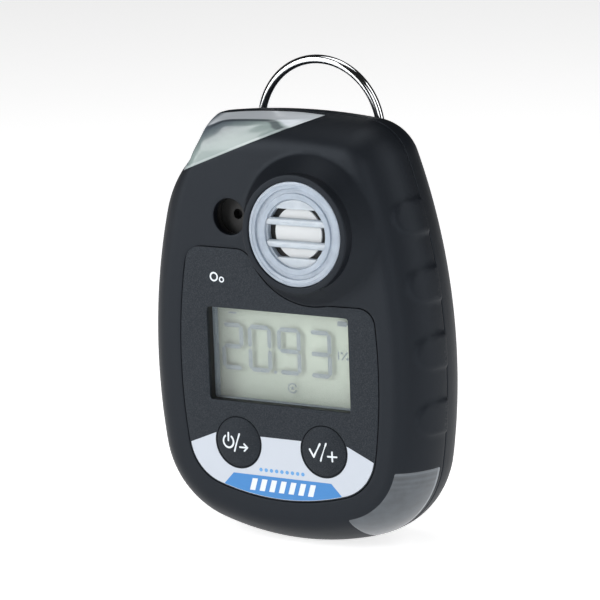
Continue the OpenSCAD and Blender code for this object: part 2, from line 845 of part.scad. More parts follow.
module clip_spring() in_frame() color([0.5, 0.5, 0.52]) {
    coil_r = 1.4;
    wire = 0.3;
    leg = 0.22;
    turns = 6;
    pitch = 0.54;
    end = pitch * (turns - 1) / 2;
    translate([0, hub_y, pin_z]) rotate([0, 90, 0]) rotate_extrude()
        for (i = [0 : turns - 1]) translate([coil_r, i * pitch - end]) circle(wire, $fn = 24);
    rod_y(-end, clip_y, pin_z + coil_r, leg, hub_y - clip_y);
    translate([end, hub_y + hub_r - hub_proud - jaw_t, pin_z]) rotate([-tab_lean, 0, 0])
        translate([0, -leg - 0.05, 0.8]) cylinder(r = leg, h = 6);
}

module clip_screws() in_frame() color([0.65, 0.65, 0.68]) {
    for (z = clip_screw_z) {
        rod_y(0, clip_y - 0.8, z, head_r, 0.7);
        rod_y(0, clip_y - 0.5 - clip_t - wall, z, screw_r, clip_t + wall);
    }
}

front_shell();
rear_cover();
housing_seal();
cover_screws();
screw_inserts();
label_panel();
display_window();
lcd_glass();
lcd_frame();
lcd_contact_strips();
power_key();
menu_key();
power_switch_plunger();
menu_switch_plunger();
key_switches();
sensor_cap();
sensor_filter();
sensor_seal();
gas_sensor();
sensor_sockets();
upper_board();
board_header();
buzzer();
buzzer_seal();
top_lens();
right_lens();
alarm_leds();
main_board();
board_screws();
board_chips();
battery();
battery_holder();
battery_contacts();
vibration_motor();
vibration_weight();
motor_bracket();
wire_bail();
clip_base();
clip_jaw();
clip_pin();
clip_spring();
clip_screws();
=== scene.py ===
import math

import bmesh
import bpy
import numpy as np
from mathutils import Matrix, Vector, geometry


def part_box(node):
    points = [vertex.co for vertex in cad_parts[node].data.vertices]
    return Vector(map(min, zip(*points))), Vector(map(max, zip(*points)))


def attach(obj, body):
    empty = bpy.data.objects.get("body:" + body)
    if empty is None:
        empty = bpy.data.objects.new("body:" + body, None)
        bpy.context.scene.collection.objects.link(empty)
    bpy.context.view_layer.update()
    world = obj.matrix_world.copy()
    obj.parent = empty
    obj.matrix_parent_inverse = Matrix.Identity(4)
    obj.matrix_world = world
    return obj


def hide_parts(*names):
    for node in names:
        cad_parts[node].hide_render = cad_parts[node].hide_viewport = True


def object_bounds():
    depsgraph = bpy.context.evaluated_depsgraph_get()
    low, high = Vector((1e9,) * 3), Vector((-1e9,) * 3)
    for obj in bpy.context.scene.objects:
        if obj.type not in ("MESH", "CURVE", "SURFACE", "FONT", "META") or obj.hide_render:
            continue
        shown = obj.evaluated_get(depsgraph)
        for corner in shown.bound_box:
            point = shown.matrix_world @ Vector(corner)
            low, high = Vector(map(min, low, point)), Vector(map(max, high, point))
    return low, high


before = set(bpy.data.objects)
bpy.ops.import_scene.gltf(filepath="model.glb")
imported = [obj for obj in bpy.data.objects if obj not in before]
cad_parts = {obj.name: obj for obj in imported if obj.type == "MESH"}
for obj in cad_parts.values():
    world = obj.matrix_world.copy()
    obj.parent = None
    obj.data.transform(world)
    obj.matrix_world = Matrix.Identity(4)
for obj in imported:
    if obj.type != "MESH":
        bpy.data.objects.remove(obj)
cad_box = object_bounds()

# ------------------------------------------------------------------ sizes
# Everything is drawn in millimetres from the middle of the display on the front face:
# x to the right, y backwards, z up. place() turns that into the frame's metres.

MM = 0.001
LOW, HIGH = 0, 1


def middle(node):
    low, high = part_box(node)
    return [(a + b) / 2 for a, b in zip(low, high)]


ZERO = Vector((middle("display_window")[0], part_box("label_panel")[LOW][1],
               middle("display_window")[2]))


def local(node):
    """Lowest and highest corner of a CAD node, in millimetres from the display."""
    return [[(c - z) / MM for c, z in zip(corner, ZERO)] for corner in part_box(node)]


def centre(node):
    low, high = local(node)
    return [(a + b) / 2 for a, b in zip(low, high)]


cover_low, cover_high = local("rear_cover")
HALF_W = (cover_high[0] - cover_low[0]) / 2
BASE_Z, TOP_Z = cover_low[2], cover_high[2]
BACK_Y = cover_high[1]
SEAM_Y = cover_low[1]
PAD_H = local("front_shell")[HIGH][0] - HALF_W

SENSOR_X, _, SENSOR_Z = centre("sensor_cap")
CAP_Y = local("sensor_cap")[LOW][1]
CAP_R = (local("sensor_cap")[HIGH][0] - local("sensor_cap")[LOW][0]) / 2
LIP_Y = local("front_shell")[LOW][1]
LIP_R = CAP_R + 1.5
FLARE_R = LIP_R + 3.5
BUZZER_X, _, BUZZER_Z = centre("buzzer_seal")
SOUND_R = 3.9
KEY_X, _, KEY_Z = centre("menu_key")
KEY_R = 5.5
KEY_GAP = 0.16
WINDOW_W, WINDOW_H = 34.9, 20.3
LCD_Y = local("lcd_glass")[LOW][1]

# Outline of the body: for each half a base, low corner, side, top corner and top arc
SIDE_LEVEL = -2
BASE_R, LOW_CORNER_R, SIDE_R, TOP_CORNER_R, TOP_R = 64, 20.8, 130, 10.5, 150
EDGE_R = 5
SHOULDER_R_FRONT = (SEAM_Y - EDGE_R * (1 - math.cos(math.pi / 4))) / math.sin(math.pi / 4)
BACK_STRAIGHT, ROLL_R, BACK_LEAN, BACK_EDGE_R = 1.35, 12, math.radians(31.4), 4

PANEL_IN = 10.2

# Lenses: the top one lies above a slanted line and right of a short tip, the side one lies
# between a level top, a leaning end and a line inside the outline
LENS_BACK = SEAM_Y - 1.15
LENS_SLOPE, LENS_LINE_Z = math.radians(21.6), TOP_Z - 3.7
LENS_TIP, LENS_TIP_LEAN = (-22.2, TOP_Z - 13.1), math.radians(26.565)
SIDE_LENS_TOP, SIDE_LENS_IN = -22, 5.6
SIDE_LENS_END, SIDE_LENS_LEAN = (18, BASE_Z + 3), math.radians(25)


def place(points):
    """Points in millimetres from the display, moved into the frame in metres."""
    return np.asarray(points, float) * MM + np.array(ZERO)


# ------------------------------------------------------------------ outlines

def meet(p, rp, q, rq, pick):
    """Where two circles meet, on the side that pick chooses."""
    away = q - p
    d = np.linalg.norm(away)
    along = away / d
    a = (rp * rp - rq * rq + d * d) / (2 * d)
    h = math.sqrt(rp * rp - a * a)
    return p + a * along + pick * h * np.array([-along[1], along[0]])


def angle_of(v):
    return math.atan2(v[1], v[0])


def body_arcs():
    """Centre, radius and the two end angles of each arc of the right half, from the base up."""
    side = np.array([HALF_W - SIDE_R, SIDE_LEVEL])
    base = np.array([0, BASE_Z + BASE_R])
    top = np.array([0, TOP_Z - TOP_R])
    low = meet(side, SIDE_R - LOW_CORNER_R, base, BASE_R - LOW_CORNER_R, -1)
    high = meet(side, SIDE_R - TOP_CORNER_R, top, TOP_R - TOP_CORNER_R, 1)
    turns = [-math.pi / 2, angle_of(low - base), angle_of(low - side),
             angle_of(high - side), angle_of(high - top), math.pi / 2]
    parts = [(base, BASE_R), (low, LOW_CORNER_R), (side, SIDE_R), (high, TOP_CORNER_R),
             (top, TOP_R)]
    return [(c, r, turns[i], turns[i + 1]) for i, (c, r) in enumerate(parts)]


ARCS = body_arcs()

# The left top corner is cut back for the lens: a shoulder arc, then a leaning edge
SHOULDER_R, SHOULDER_LEAN = 20, math.radians(14.1)
SHOULDER_C = (np.array([SIDE_R - HALF_W, SIDE_LEVEL])
              + (SIDE_R - SHOULDER_R) * np.array([-math.cos(SHOULDER_LEAN),
                                                  math.sin(SHOULDER_LEAN)]))
SHOULDER_Z = SIDE_LEVEL + SIDE_R * math.sin(SHOULDER_LEAN)
EDGE_LEAN = math.radians(25)
EDGE_AT = np.array([-22.9, TOP_Z - 11.3])
EDGE_WAY = np.array([-math.cos(EDGE_LEAN), math.sin(EDGE_LEAN)])
CORNER_FADE = 12


def corner_pull(rim, way, inset):
    """How far the cut corner moves points inwards: rim is where each point's line meets the
    uncut outline, way its direction outwards, inset how deep inside it lies."""
    from_c = rim - SHOULDER_C
    along = (from_c * way).sum(axis=1)
    under = along ** 2 - (from_c ** 2).sum(axis=1) + SHOULDER_R ** 2
    to_arc = np.where(under > 0, along - np.sqrt(np.maximum(under, 0)), 99)
    out = way @ EDGE_WAY
    to_edge = np.where(out > 0.1, (rim - EDGE_AT) @ EDGE_WAY / np.where(out > 0.1, out, 1), 99)
    cut = np.minimum(to_arc, to_edge)
    cut = np.where((rim[:, 0] > SHOULDER_C[0]) | (rim[:, 1] < SHOULDER_Z) | (cut > 90), 0, cut)
    fade = np.clip(1 - np.clip(inset, 0, None) / CORNER_FADE, 0, None)
    return way * (np.clip(cut, 0, None) * fade ** 2)[:, None]


def outline(inset, step):
    """Closed loop round the body at that inset, in steps of about that length."""
    half = []
    for c, r, a, b in ARCS:
        n = max(2, int(round(abs(b - a) * (r - min(inset, 0)) / step)))
        for i in range(n):
            t = a + (b - a) * i / n
            half.append((c[0] + (r - inset) * math.cos(t), c[1] + (r - inset) * math.sin(t)))
    half.append((0, TOP_Z - inset))
    return np.array(half + [(-x, z) for x, z in half[-2:0:-1]])


def circle(x, z, r, n=64):
    return np.array([(x + r * math.cos(2 * math.pi * i / n),
                      z + r * math.sin(2 * math.pi * i / n)) for i in range(n)])


def inside(points, loop):
    """Which of the points lie inside the closed loop."""
    x, z = points[:, 0], points[:, 1]
    hit = np.zeros(len(points), bool)
    for (x0, z0), (x1, z1) in zip(loop, np.roll(loop, -1, axis=0)):
        spans = (z0 > z) != (z1 > z)
        rise = z1 - z0 if z1 != z0 else 1e-12
        hit ^= spans & (x < (x1 - x0) * (z - z0) / rise + x0)
    return hit


def evenly(loop, step):
    """The same closed loop with its points spaced evenly."""
    ring = np.vstack([loop, loop[:1]])
    length = np.concatenate([[0], np.cumsum(np.linalg.norm(np.diff(ring, axis=0), axis=1))])
    n = max(8, int(length[-1] / step))
    at = np.linspace(0, length[-1], n, endpoint=False)
    return np.stack([np.interp(at, length, ring[:, 0]), np.interp(at, length, ring[:, 1])], 1)


def rounded(corners, radii, step=0.3):
    """Closed loop through the corners, each turned with an arc of its own radius."""
    points = []
    n = len(corners)
    for i, (corner, r) in enumerate(zip(corners, radii)):
        p = np.array(corner, float)
        before = np.array(corners[i - 1], float) - p
        after = np.array(corners[(i + 1) % n], float) - p
        room = min(np.linalg.norm(before), np.linalg.norm(after)) * 0.49
        u, v = before / np.linalg.norm(before), after / np.linalg.norm(after)
        half = math.acos(np.clip(u @ v, -1, 1)) / 2
        if r <= 0 or half > math.pi / 2 - 0.01:
            points.append(p)
            continue
        reach = min(r / math.tan(half), room)
        r = reach * math.tan(half)
        mid = p + (u + v) / np.linalg.norm(u + v) * (r / math.sin(half))
        a0, a1 = angle_of(p + u * reach - mid), angle_of(p + v * reach - mid)
        turn = (a1 - a0 + math.pi) % (2 * math.pi) - math.pi
        steps = max(3, int(abs(turn) * r / step))
        for k in range(steps + 1):
            a = a0 + turn * k / steps
            points.append(mid + r * np.array([math.cos(a), math.sin(a)]))
    return np.array(points)


def sideways(loop):
    """Unit direction at each point of a closed loop that points out of it."""
    along = np.roll(loop, -1, axis=0) - np.roll(loop, 1, axis=0)
    along /= np.linalg.norm(along, axis=1)[:, None]
    area = np.sum(loop[:, 0] * np.roll(loop[:, 1], -1) - np.roll(loop[:, 0], -1) * loop[:, 1])
    out = np.stack([along[:, 1], -along[:, 0]], 1)
    return out if area > 0 else -out


# ------------------------------------------------------------------ unrolled shells

def cut_outline(inset, step):
    """The body's real outline at that inset, with its cut corner."""
    ring = outline(inset, step)
    way = sideways(ring)
    return ring - corner_pull(ring + way * inset, way, np.full(len(ring), float(inset)))


class Skin:
    """A shell's outer face laid out flat: the flat middle as it is, and the rolled edge
    beyond it at its true length. lift() puts flat points back on the real shape."""

    def __init__(self, insets, depths, faces):
        self.w = insets[0] - np.array(insets)
        self.y = np.array(depths)
        self.flat_in = insets[0]
        step = np.hypot(np.diff(self.w), np.diff(self.y))
        self.t = np.concatenate([[0], np.cumsum(step)])
        self.end = self.t[-1]
        self.faces = faces

    def out(self, p):
        """How far each point is beyond the flat middle, and the direction there."""
        side = np.where(p[:, 0] < 0, -1.0, 1.0)
        q = np.stack([np.abs(p[:, 0]), p[:, 1]], 1)
        best = np.full(len(p), -1e9)
        way = np.zeros((len(p), 2))
        for c, r, a, b in ARCS:
            v = q - c
            d = np.linalg.norm(v, axis=1)
            turn = np.arctan2(v[:, 1], v[:, 0])
            gap = d - (r - self.flat_in)
            fits = (turn >= a - 1e-6) & (turn <= b + 1e-6) & (gap > best)
            best[fits] = gap[fits]
            way[fits] = (v / np.maximum(d, 1e-9)[:, None])[fits]
        way[:, 0] *= side
        return best, way

    def lift(self, p, down=0.0):
        p = np.asarray(p, float)
        gap, way = self.out(p)
        t = np.clip(gap, 0, None)
        w = np.interp(t, self.t, self.w)
        y = np.interp(t, self.t, self.y) + np.clip(t - self.end, 0, None) * -self.faces
        near = np.clip(t, 0.01, self.end - 0.01)
        dw = np.interp(near + 0.01, self.t, self.w) - np.interp(near - 0.01, self.t, self.w)
        dy = np.interp(near + 0.01, self.t, self.y) - np.interp(near - 0.01, self.t, self.y)
        size = np.hypot(dw, dy)
        flat = gap <= 0
        lean = np.where(flat, 0, np.abs(dy) / size)
        face = np.where(flat, 1, dw / size) * self.faces
        base = p - way * t[:, None]
        xz = np.where(flat[:, None], p, base + way * w[:, None])
        normal = np.stack([way[:, 0] * lean, face, way[:, 1] * lean], 1)
        sunk = np.where(flat, self.flat_in - gap, self.flat_in - w)
        xz = xz - corner_pull(p + way * (self.flat_in - gap)[:, None], way, sunk)
        spot = np.stack([xz[:, 0], y, xz[:, 1]], 1)
        return spot - normal * np.asarray(down).reshape(-1, 1), normal

    def unroll(self, p):
        """Flat place of points given as seen from the front."""
        goal = np.asarray(p, float)
        p = goal
        for _ in range(40):
            gap, way = self.out(p)
            rim = p + way * (self.flat_in - gap)[:, None]
            p = goal + corner_pull(rim, way, self.flat_in - gap)
        gap, way = self.out(p)
        w = np.clip(gap, 0, self.w[-1] - 1e-4)
        t = np.interp(w, self.w, self.t)
        return np.where((gap > 0)[:, None], p + way * (t - w)[:, None], p)

    def at_depth(self, y):
        order = np.argsort(self.y)
        return float(np.interp(y, self.y[order], self.t[order]))

    def loop_at(self, t, step):
        return outline(self.flat_in - t, step)


def lens_skin():
    """The top lens is blockier than the shell: a gently bowed face, a tight edge, a wall."""
    flat_in = EDGE_R * math.sin(math.pi / 4) + SHOULDER_R_FRONT * (1 - math.cos(math.pi / 4))
    edge_in, edge_y = 1.35, 1.75
    ins = list(np.linspace(flat_in, edge_in + 0.9, 30))
    dep = [edge_y * ((flat_in - i) / (flat_in - edge_in)) ** 1.7 for i in ins]
    a, b, c = np.array([ins[-1], dep[-1]]), np.array([edge_in, edge_y]), np.array([1.0, 3.0])
    for t in np.linspace(0, 1, 14)[1:]:
        i, y = (1 - t) ** 2 * a + 2 * t * (1 - t) * b + t * t * c
        ins.append(i)
        dep.append(y)
    for t in np.linspace(0, 1, 20)[1:]:
        ins.append(1.0 * (1 - t))
        dep.append(3.0 + (SEAM_Y - 3.0) * t)
    return Skin(ins, dep, -1)


def front_skin():
    ins, dep = [], []
    flat_in = EDGE_R * math.sin(math.pi / 4) + SHOULDER_R_FRONT * (1 - math.cos(math.pi / 4))
    for a in np.linspace(0, math.pi / 4, 40):
        ins.append(flat_in - EDGE_R * math.sin(a))
        dep.append(EDGE_R * (1 - math.cos(a)))
    for a in np.linspace(math.pi / 4, math.pi / 2, 60)[1:]:
        ins.append(SHOULDER_R_FRONT * (1 - math.sin(a)))
        dep.append(SEAM_Y - SHOULDER_R_FRONT * math.cos(a))
    return Skin(ins, dep, -1)


def rear_skin():
    start = SEAM_Y + BACK_STRAIGHT
    rise = (BACK_Y - start - ROLL_R * math.sin(BACK_LEAN)
            - BACK_EDGE_R * (1 - math.sin(BACK_LEAN)))
    slant = rise / math.cos(BACK_LEAN)
    ins, dep = [0.0], [SEAM_Y]
    for a in np.linspace(0, BACK_LEAN, 30):
        ins.append(ROLL_R * (1 - math.cos(a)))
        dep.append(start + ROLL_R * math.sin(a))
    in2, y2 = ins[-1] + slant * math.sin(BACK_LEAN), dep[-1] + rise
    for a in np.linspace(BACK_LEAN, math.pi / 2, 40):
        ins.append(in2 + BACK_EDGE_R * (math.cos(BACK_LEAN) - math.cos(a)))
        dep.append(y2 + BACK_EDGE_R * (math.sin(a) - math.sin(BACK_LEAN)))
    return Skin(ins[::-1], dep[::-1], 1)


FRONT = front_skin()
LENS = lens_skin()
REAR = rear_skin()


# ------------------------------------------------------------------ mesh building

WELD = 1e-6


class Shape:
    """Collects points and faces in millimetres, and turns them into one finished piece."""

    def __init__(self):
        self.points = []
        self.faces = []

    def add(self, points, faces):
        start = len(self.points)
        self.points.extend([tuple(p) for p in points])
        self.faces.extend([[i + start for i in f] for f in faces])
        return self

    def strips(self, rows, closed=True):
        """Quads between one row of points and the next."""
        n = len(rows[0])
        count = n if closed else n - 1
        faces = [(k * n + i, k * n + (i + 1) % n, (k + 1) * n + (i + 1) % n, (k + 1) * n + i)
                 for k in range(len(rows) - 1) for i in range(count)]
        return self.add(np.vstack(rows), faces)

    def piece(self, name, material, body, stands_for=(), toward=None, smooth_under=35):
        """Makes the piece: joins its points, turns its faces outwards, rides it on a body."""
        mesh = bpy.data.meshes.new(name)
        mesh.from_pydata([tuple(p) for p in place(self.points)], [], self.faces)
        bm = bmesh.new()
        bm.from_mesh(mesh)
        bmesh.ops.remove_doubles(bm, verts=bm.verts, dist=WELD)
        bmesh.ops.dissolve_degenerate(bm, edges=bm.edges, dist=WELD)
        bmesh.ops.recalc_face_normals(bm, faces=bm.faces)
        if toward is not None:
            way = Vector(toward)
            if sum(f.normal.dot(way) * f.calc_area() for f in bm.faces) < 0:
                bmesh.ops.reverse_faces(bm, faces=bm.faces)
        bm.to_mesh(mesh)
        bm.free()
        mesh.shade_smooth()
        mesh.set_sharp_from_angle(angle=math.radians(smooth_under))
        obj = bpy.data.objects.new(name, mesh)
        bpy.context.scene.collection.objects.link(obj)
        mesh.materials.append(material)
        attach(obj, body)
        if stands_for:
            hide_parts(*stands_for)
        return obj


def near_any(points, others, gap):
    """Which points have one of the others closer than gap, by sorting both into cells."""
    cells = {}
    for x, z in others:
        cells.setdefault((math.floor(x / gap), math.floor(z / gap)), []).append((x, z))
    out = np.zeros(len(points), bool)
    for k, (x, z) in enumerate(points):
        i, j = math.floor(x / gap), math.floor(z / gap)
        for a in (i - 1, i, i + 1):
            for b in (j - 1, j, j + 1):
                for u, v in cells.get((a, b), ()):
                    if (u - x) ** 2 + (v - z) ** 2 < gap * gap:
                        out[k] = True
    return out


def sheet(outer, holes, guides, skin=None, step=0.8):
    """Flat points and faces that fill the outer loop outside the holes, with edges that
    follow the guides."""
    loops = [outer] + list(holes) + list(guides)
    fixed = np.vstack(loops)
    low, high = outer.min(axis=0), outer.max(axis=0)
    rows = [np.stack([np.arange(low[0], high[0], step) + (k % 2) * step / 2,
                      np.full(len(np.arange(low[0], high[0], step)), z)], 1)
            for k, z in enumerate(np.arange(low[1], high[1], step * 0.866))]
    grid = np.vstack(rows)
    if skin is not None:
        grid = grid[skin.out(grid)[0] < -0.3 * step]
        bands = int(skin.end / (step * 0.9))
        rings = [skin.loop_at(skin.end * k / bands, step) for k in range(bands)]
        grid = np.vstack([grid] + rings)
    keep = inside(grid, outer)
    for h in holes:
        keep &= ~inside(grid, h)
    grid = grid[keep]
    grid = grid[~near_any(grid, fixed, step * 0.5)]
    edges = []
    start = 0
    for loop in loops:
        n = len(loop)
        edges += [(start + i, start + (i + 1) % n) for i in range(n)]
        start += n
    every = [Vector(p) for p in np.vstack([fixed, grid])]
    spots, _, faces, _, _, _ = geometry.delaunay_2d_cdt(every, edges, [], 0, 1e-5)
    flat = np.array([tuple(v) for v in spots])
    tri = np.array([f for f in faces if len(f) == 3])
    mid = flat[tri].mean(axis=1)
    keep = inside(mid, outer)
    for h in holes:
        keep &= ~inside(mid, h)
    return flat, tri[keep].tolist()


def rim(loop, lift, section):
    """Rows of points down from the edge of a hole or border: section holds how far each row
    lies out of the loop and how far down into the shell."""
    away = sideways(loop)
    return [lift(loop + away * out, down) for out, down in section]


def soft_edge(r, depth, into=-1, steps=4):
    """Section of a rounded edge of radius r that goes down to depth."""
    rows = [(into * r * math.sin(a), r * (1 - math.cos(a)))
            for a in np.linspace(0, math.pi / 2, steps + 1)]
    return rows + [(into * r, d) for d in np.linspace(r, depth, 3)[1:]]


def turned(profile, x, z, n=96):
    """Rows of points round an axis that runs backwards: profile holds radius and depth."""
    a = np.linspace(0, 2 * math.pi, n, endpoint=False)
    return [np.stack([x + r * np.cos(a), np.full(n, y), z + r * np.sin(a)], 1)
            for r, y in profile]


def fillet(profile, r=0.15, steps=3):
    """Rounds each inner corner of an open profile."""
    out = [np.array(profile[0], float)]
    for a, b, c in zip(profile, profile[1:], profile[2:]):
        a, b, c = (np.array(v, float) for v in (a, b, c))
        u, v = a - b, c - b
        lu, lv = np.linalg.norm(u), np.linalg.norm(v)
        reach = min(r, lu * 0.45, lv * 0.45)
        start, end = b + u / lu * reach, b + v / lv * reach
        for k in range(steps + 1):
            s = k / steps
            out.append((1 - s) ** 2 * start + 2 * s * (1 - s) * b + s * s * end)
    out.append(np.array(profile[-1], float))
    return [tuple(p) for p in out]


def slab(loops, front, thick, cuts=(), step=1.0):
    """Thin plate that fills the loops, which may overlap, and leaves out the cuts. front
    gives its depth at each place."""
    loops = [np.asarray(l, float) for l in loops]
    cuts = [np.asarray(c, float) for c in cuts]
    every, edges = [], []
    for loop in loops + cuts:
        start = len(every)
        n = len(loop)
        every += [tuple(p) for p in loop]
        edges += [(start + i, start + (i + 1) % n) for i in range(n)]
    if step:
        low, high = np.min(every, axis=0), np.max(every, axis=0)
        xs, zs = np.arange(low[0], high[0], step), np.arange(low[1], high[1], step)
        grid = np.array([(x + 0.013, z + 0.017) for x in xs for z in zs]).reshape(-1, 2)
        every += [tuple(p) for p in grid[~near_any(grid, every, step * 0.4)]]
    spots, _, faces, _, _, _ = geometry.delaunay_2d_cdt([Vector(p) for p in every], edges, [],
                                                        0, 1e-5)
    flat = np.array([tuple(v) for v in spots])
    tri = np.array([f for f in faces if len(f) == 3])
    mid = flat[tri].mean(axis=1)
    keep = np.zeros(len(tri), bool)
    for loop in loops:
        keep |= inside(mid, loop)
    for cut in cuts:
        keep &= ~inside(mid, cut)
    tri = tri[keep]
    depth = front(flat)
    top = np.stack([flat[:, 0], depth, flat[:, 1]], 1)
    low = top + np.array([0, thick, 0])
    n = len(flat)
    turns = {}
    for f in tri:
        for i in range(3):
            turns[(f[i], f[(i + 1) % 3])] = True
    walls = [(a, b, b + n, a + n) for a, b in turns if (b, a) not in turns]
    shape = Shape()
    shape.add(np.vstack([top, low]), tri.tolist() + [[i + n for i in f[::-1]] for f in tri.tolist()]
              + walls)
    return shape


def level(y):
    return lambda p: np.full(len(p), float(y))


def stroke(points, width):
    """Loops that together draw a line of that width through the points."""
    loops = []
    for a, b in zip(points, points[1:]):
        a, b = np.array(a, float), np.array(b, float)
        u = (b - a) / np.linalg.norm(b - a)
        n = np.array([-u[1], u[0]]) * width / 2
        loops.append(np.array([a + n, a - n, b - n, b + n]))
    return loops + [circle(x, z, width / 2, 16) for x, z in points]


def bow(x, z, r, start, end, width, n=28):
    """Loop of a bent line round a centre, angles in degrees."""
    a = np.radians(np.linspace(start, end, n))
    outer = [(x + (r + width / 2) * math.cos(t), z + (r + width / 2) * math.sin(t)) for t in a]
    inner = [(x + (r - width / 2) * math.cos(t), z + (r - width / 2) * math.sin(t)) for t in a]
    return np.array(outer + inner[::-1])


def clipped(loop, point, keep):
    """The part of a loop on the side of a line that keep points to."""
    point, keep = np.array(point, float), np.array(keep, float)
    out = []
    for a, b in zip(loop, np.roll(loop, -1, axis=0)):
        da, db = (a - point) @ keep, (b - point) @ keep
        if da >= 0:
            out.append(a)
        if (da >= 0) != (db >= 0):
            out.append(a + (b - a) * da / (da - db))
    return np.array(out)


# ------------------------------------------------------------------ materials

def srgb(r, g, b):
    """Linear colour of display values from 0 to 255."""
    def one(v):
        v /= 255
        return v / 12.92 if v <= 0.04045 else ((v + 0.055) / 1.055) ** 2.4
    return one(r), one(g), one(b), 1.0


class Field:
    """A value that varies over a surface. Sums and products of it add Math nodes."""

    def __init__(self, finish, socket):
        self.finish = finish
        self.socket = socket

    def math(self, operation, *values):
        return self.finish.node("ShaderNodeMath", dict(operation=operation),
                                dict(enumerate(values)))["Value"]

    def __add__(self, other):
        return self.math("ADD", self, other)

    def __radd__(self, other):
        return self.math("ADD", other, self)

    def __sub__(self, other):
        return self.math("SUBTRACT", self, other)

    def __rsub__(self, other):
        return self.math("SUBTRACT", other, self)

    def __mul__(self, other):
        return self.math("MULTIPLY", self, other)

    def __rmul__(self, other):
        return self.math("MULTIPLY", other, self)

    def __abs__(self):
        return self.math("ABSOLUTE", self)

    def ramp(self, low, high):
        """0 below low, 1 above high, smooth between them."""
        node = self.finish.node("ShaderNodeMapRange", dict(interpolation_type="SMOOTHSTEP"),
                                {"Value": self, "From Min": low, "From Max": high})
        return node["Result"]

    def sine(self):
        return self.math("SINE", self)


class Finish:
    """One material. Its constants are set on the shader itself; what varies is linked."""

    def __init__(self, name, **constants):
        self.material = bpy.data.materials.new(name)
        self.material.use_nodes = True
        self.tree = self.material.node_tree
        self.tree.nodes.clear()
        shader = self.tree.nodes.new("ShaderNodeBsdfPrincipled")
        out = self.tree.nodes.new("ShaderNodeOutputMaterial")
        self.tree.links.new(shader.outputs[0], out.inputs["Surface"])
        self.shader = shader
        for socket, value in constants.items():
            shader.inputs[socket.replace("_", " ")].default_value = value
        self.place = self.node("ShaderNodeTexCoord")["Object"]

    def node(self, kind, settings=None, values=None):
        """Adds a node, sets it up, then fills its sockets, and gives its outputs by name."""
        node = self.tree.nodes.new(kind)
        for name, value in (settings or {}).items():
            setattr(node, name, value)
        for socket, value in (values or {}).items():
            self.feed(node.inputs[socket], value)
        return {o.name: Field(self, o) for o in node.outputs if o.enabled}

    def feed(self, socket, value):
        if isinstance(value, Field):
            self.tree.links.new(value.socket, socket)
        else:
            socket.default_value = value

    def give(self, **fields):
        for name, value in fields.items():
            self.feed(self.shader.inputs[name.replace("_", " ")], value)
        return self

    def noise(self, scale, detail=2.0, rough=0.5, stretch=(1, 1, 1)):
        """Noise whose grain is 1/scale of a millimetre, from 0 to 1."""
        size = tuple(s / MM for s in stretch)
        spot = self.node("ShaderNodeMapping", {"vector_type": "POINT"},
                         {"Vector": self.place, "Scale": size})["Vector"]
        return self.node("ShaderNodeTexNoise", None,
                         {"Vector": spot, "Scale": scale, "Detail": detail,
                          "Roughness": rough})["Fac"]

    def axes(self):
        """Places in millimetres from the middle of the display."""
        spot = self.node("ShaderNodeMapping", {"vector_type": "POINT"},
                         {"Vector": self.place, "Location": tuple(-c / MM for c in ZERO),
                          "Scale": (1 / MM,) * 3})["Vector"]
        split = self.node("ShaderNodeSeparateXYZ", None, {"Vector": spot})
        return split["X"], split["Y"], split["Z"]

    def blend(self, amount, low, high):
        """Colour that goes from low to high as the amount goes from 0 to 1."""
        node = self.tree.nodes.new("ShaderNodeMix")
        node.data_type = "RGBA"
        for index, value in ((0, amount), (6, low), (7, high)):
            if not isinstance(value, Field) and index:
                value = tuple(value) + (1.0,) * (4 - len(value))
            self.feed(node.inputs[index], value)
        return Field(self, node.outputs[2])

    def bump(self, height, depth):
        """Feeds a relief of that depth in millimetres to the shader."""
        normal = self.node("ShaderNodeBump", None,
                           {"Height": height, "Distance": depth * MM,
                            "Strength": 1.0})["Normal"]
        return self.give(Normal=normal)


def casing_plastic():
    f = Finish("casing_plastic", Specular_IOR_Level=0.27, Specular_Tint=(0.78, 0.88, 1.0, 1.0))
    grain = f.noise(3.2, 3)
    patch = f.noise(0.06, 2)
    f.give(Base_Color=f.blend(patch, srgb(9, 12, 17), srgb(13, 16, 22)),
           Roughness=0.44 + 0.08 * patch + 0.05 * grain)
    return f.bump(grain, 0.018).material


def panel_film(name="panel_film", light=0.0):
    f = Finish(name, Specular_IOR_Level=0.28, Specular_Tint=(0.75, 0.86, 1.0, 1.0))
    speck = f.noise(6.5, 2, 0.6)
    fleck = f.noise(11, 1)
    dark, pale = srgb(17 + light, 20 + light, 24 + light), srgb(44 + light, 47 + light, 51 + light)
    f.give(Base_Color=f.blend(speck.ramp(0.42, 0.66), dark, pale),
           Roughness=0.52 + 0.12 * fleck)
    return f.bump(speck, 0.02).material


def print_ink(name, colour, gloss=0.42):
    f = Finish(name)
    grain = f.noise(8, 2)
    low = tuple(c * 0.93 for c in colour[:3])
    f.give(Base_Color=f.blend(grain, low, colour[:3]), Roughness=gloss + 0.08 * grain)
    return f.bump(grain, 0.006).material


def polished(name, colour, rough=0.12, brush=0.05, scratch=0.4):
    f = Finish(name, Metallic=1.0)
    streak = f.noise(2.2, 3, 0.6, (1, 1, 0.15))
    patch = f.noise(0.25, 2)
    f.give(Base_Color=f.blend(patch, tuple(c * 0.9 for c in colour[:3]), colour[:3]),
           Roughness=rough + brush * streak)
    return f.bump(streak, 0.004 * scratch).material


def moulded(name, colour, rough=0.5, grain_size=2.5, depth=0.02, spread=0.12, **more):
    f = Finish(name, **more)
    grain = f.noise(grain_size, 3)
    patch = f.noise(0.3, 2)
    f.give(Base_Color=f.blend(patch, tuple(c * (1 - spread) for c in colour[:3]), colour[:3]),
           Roughness=rough + 0.1 * (grain - 0.5))
    return f.bump(grain, depth).material


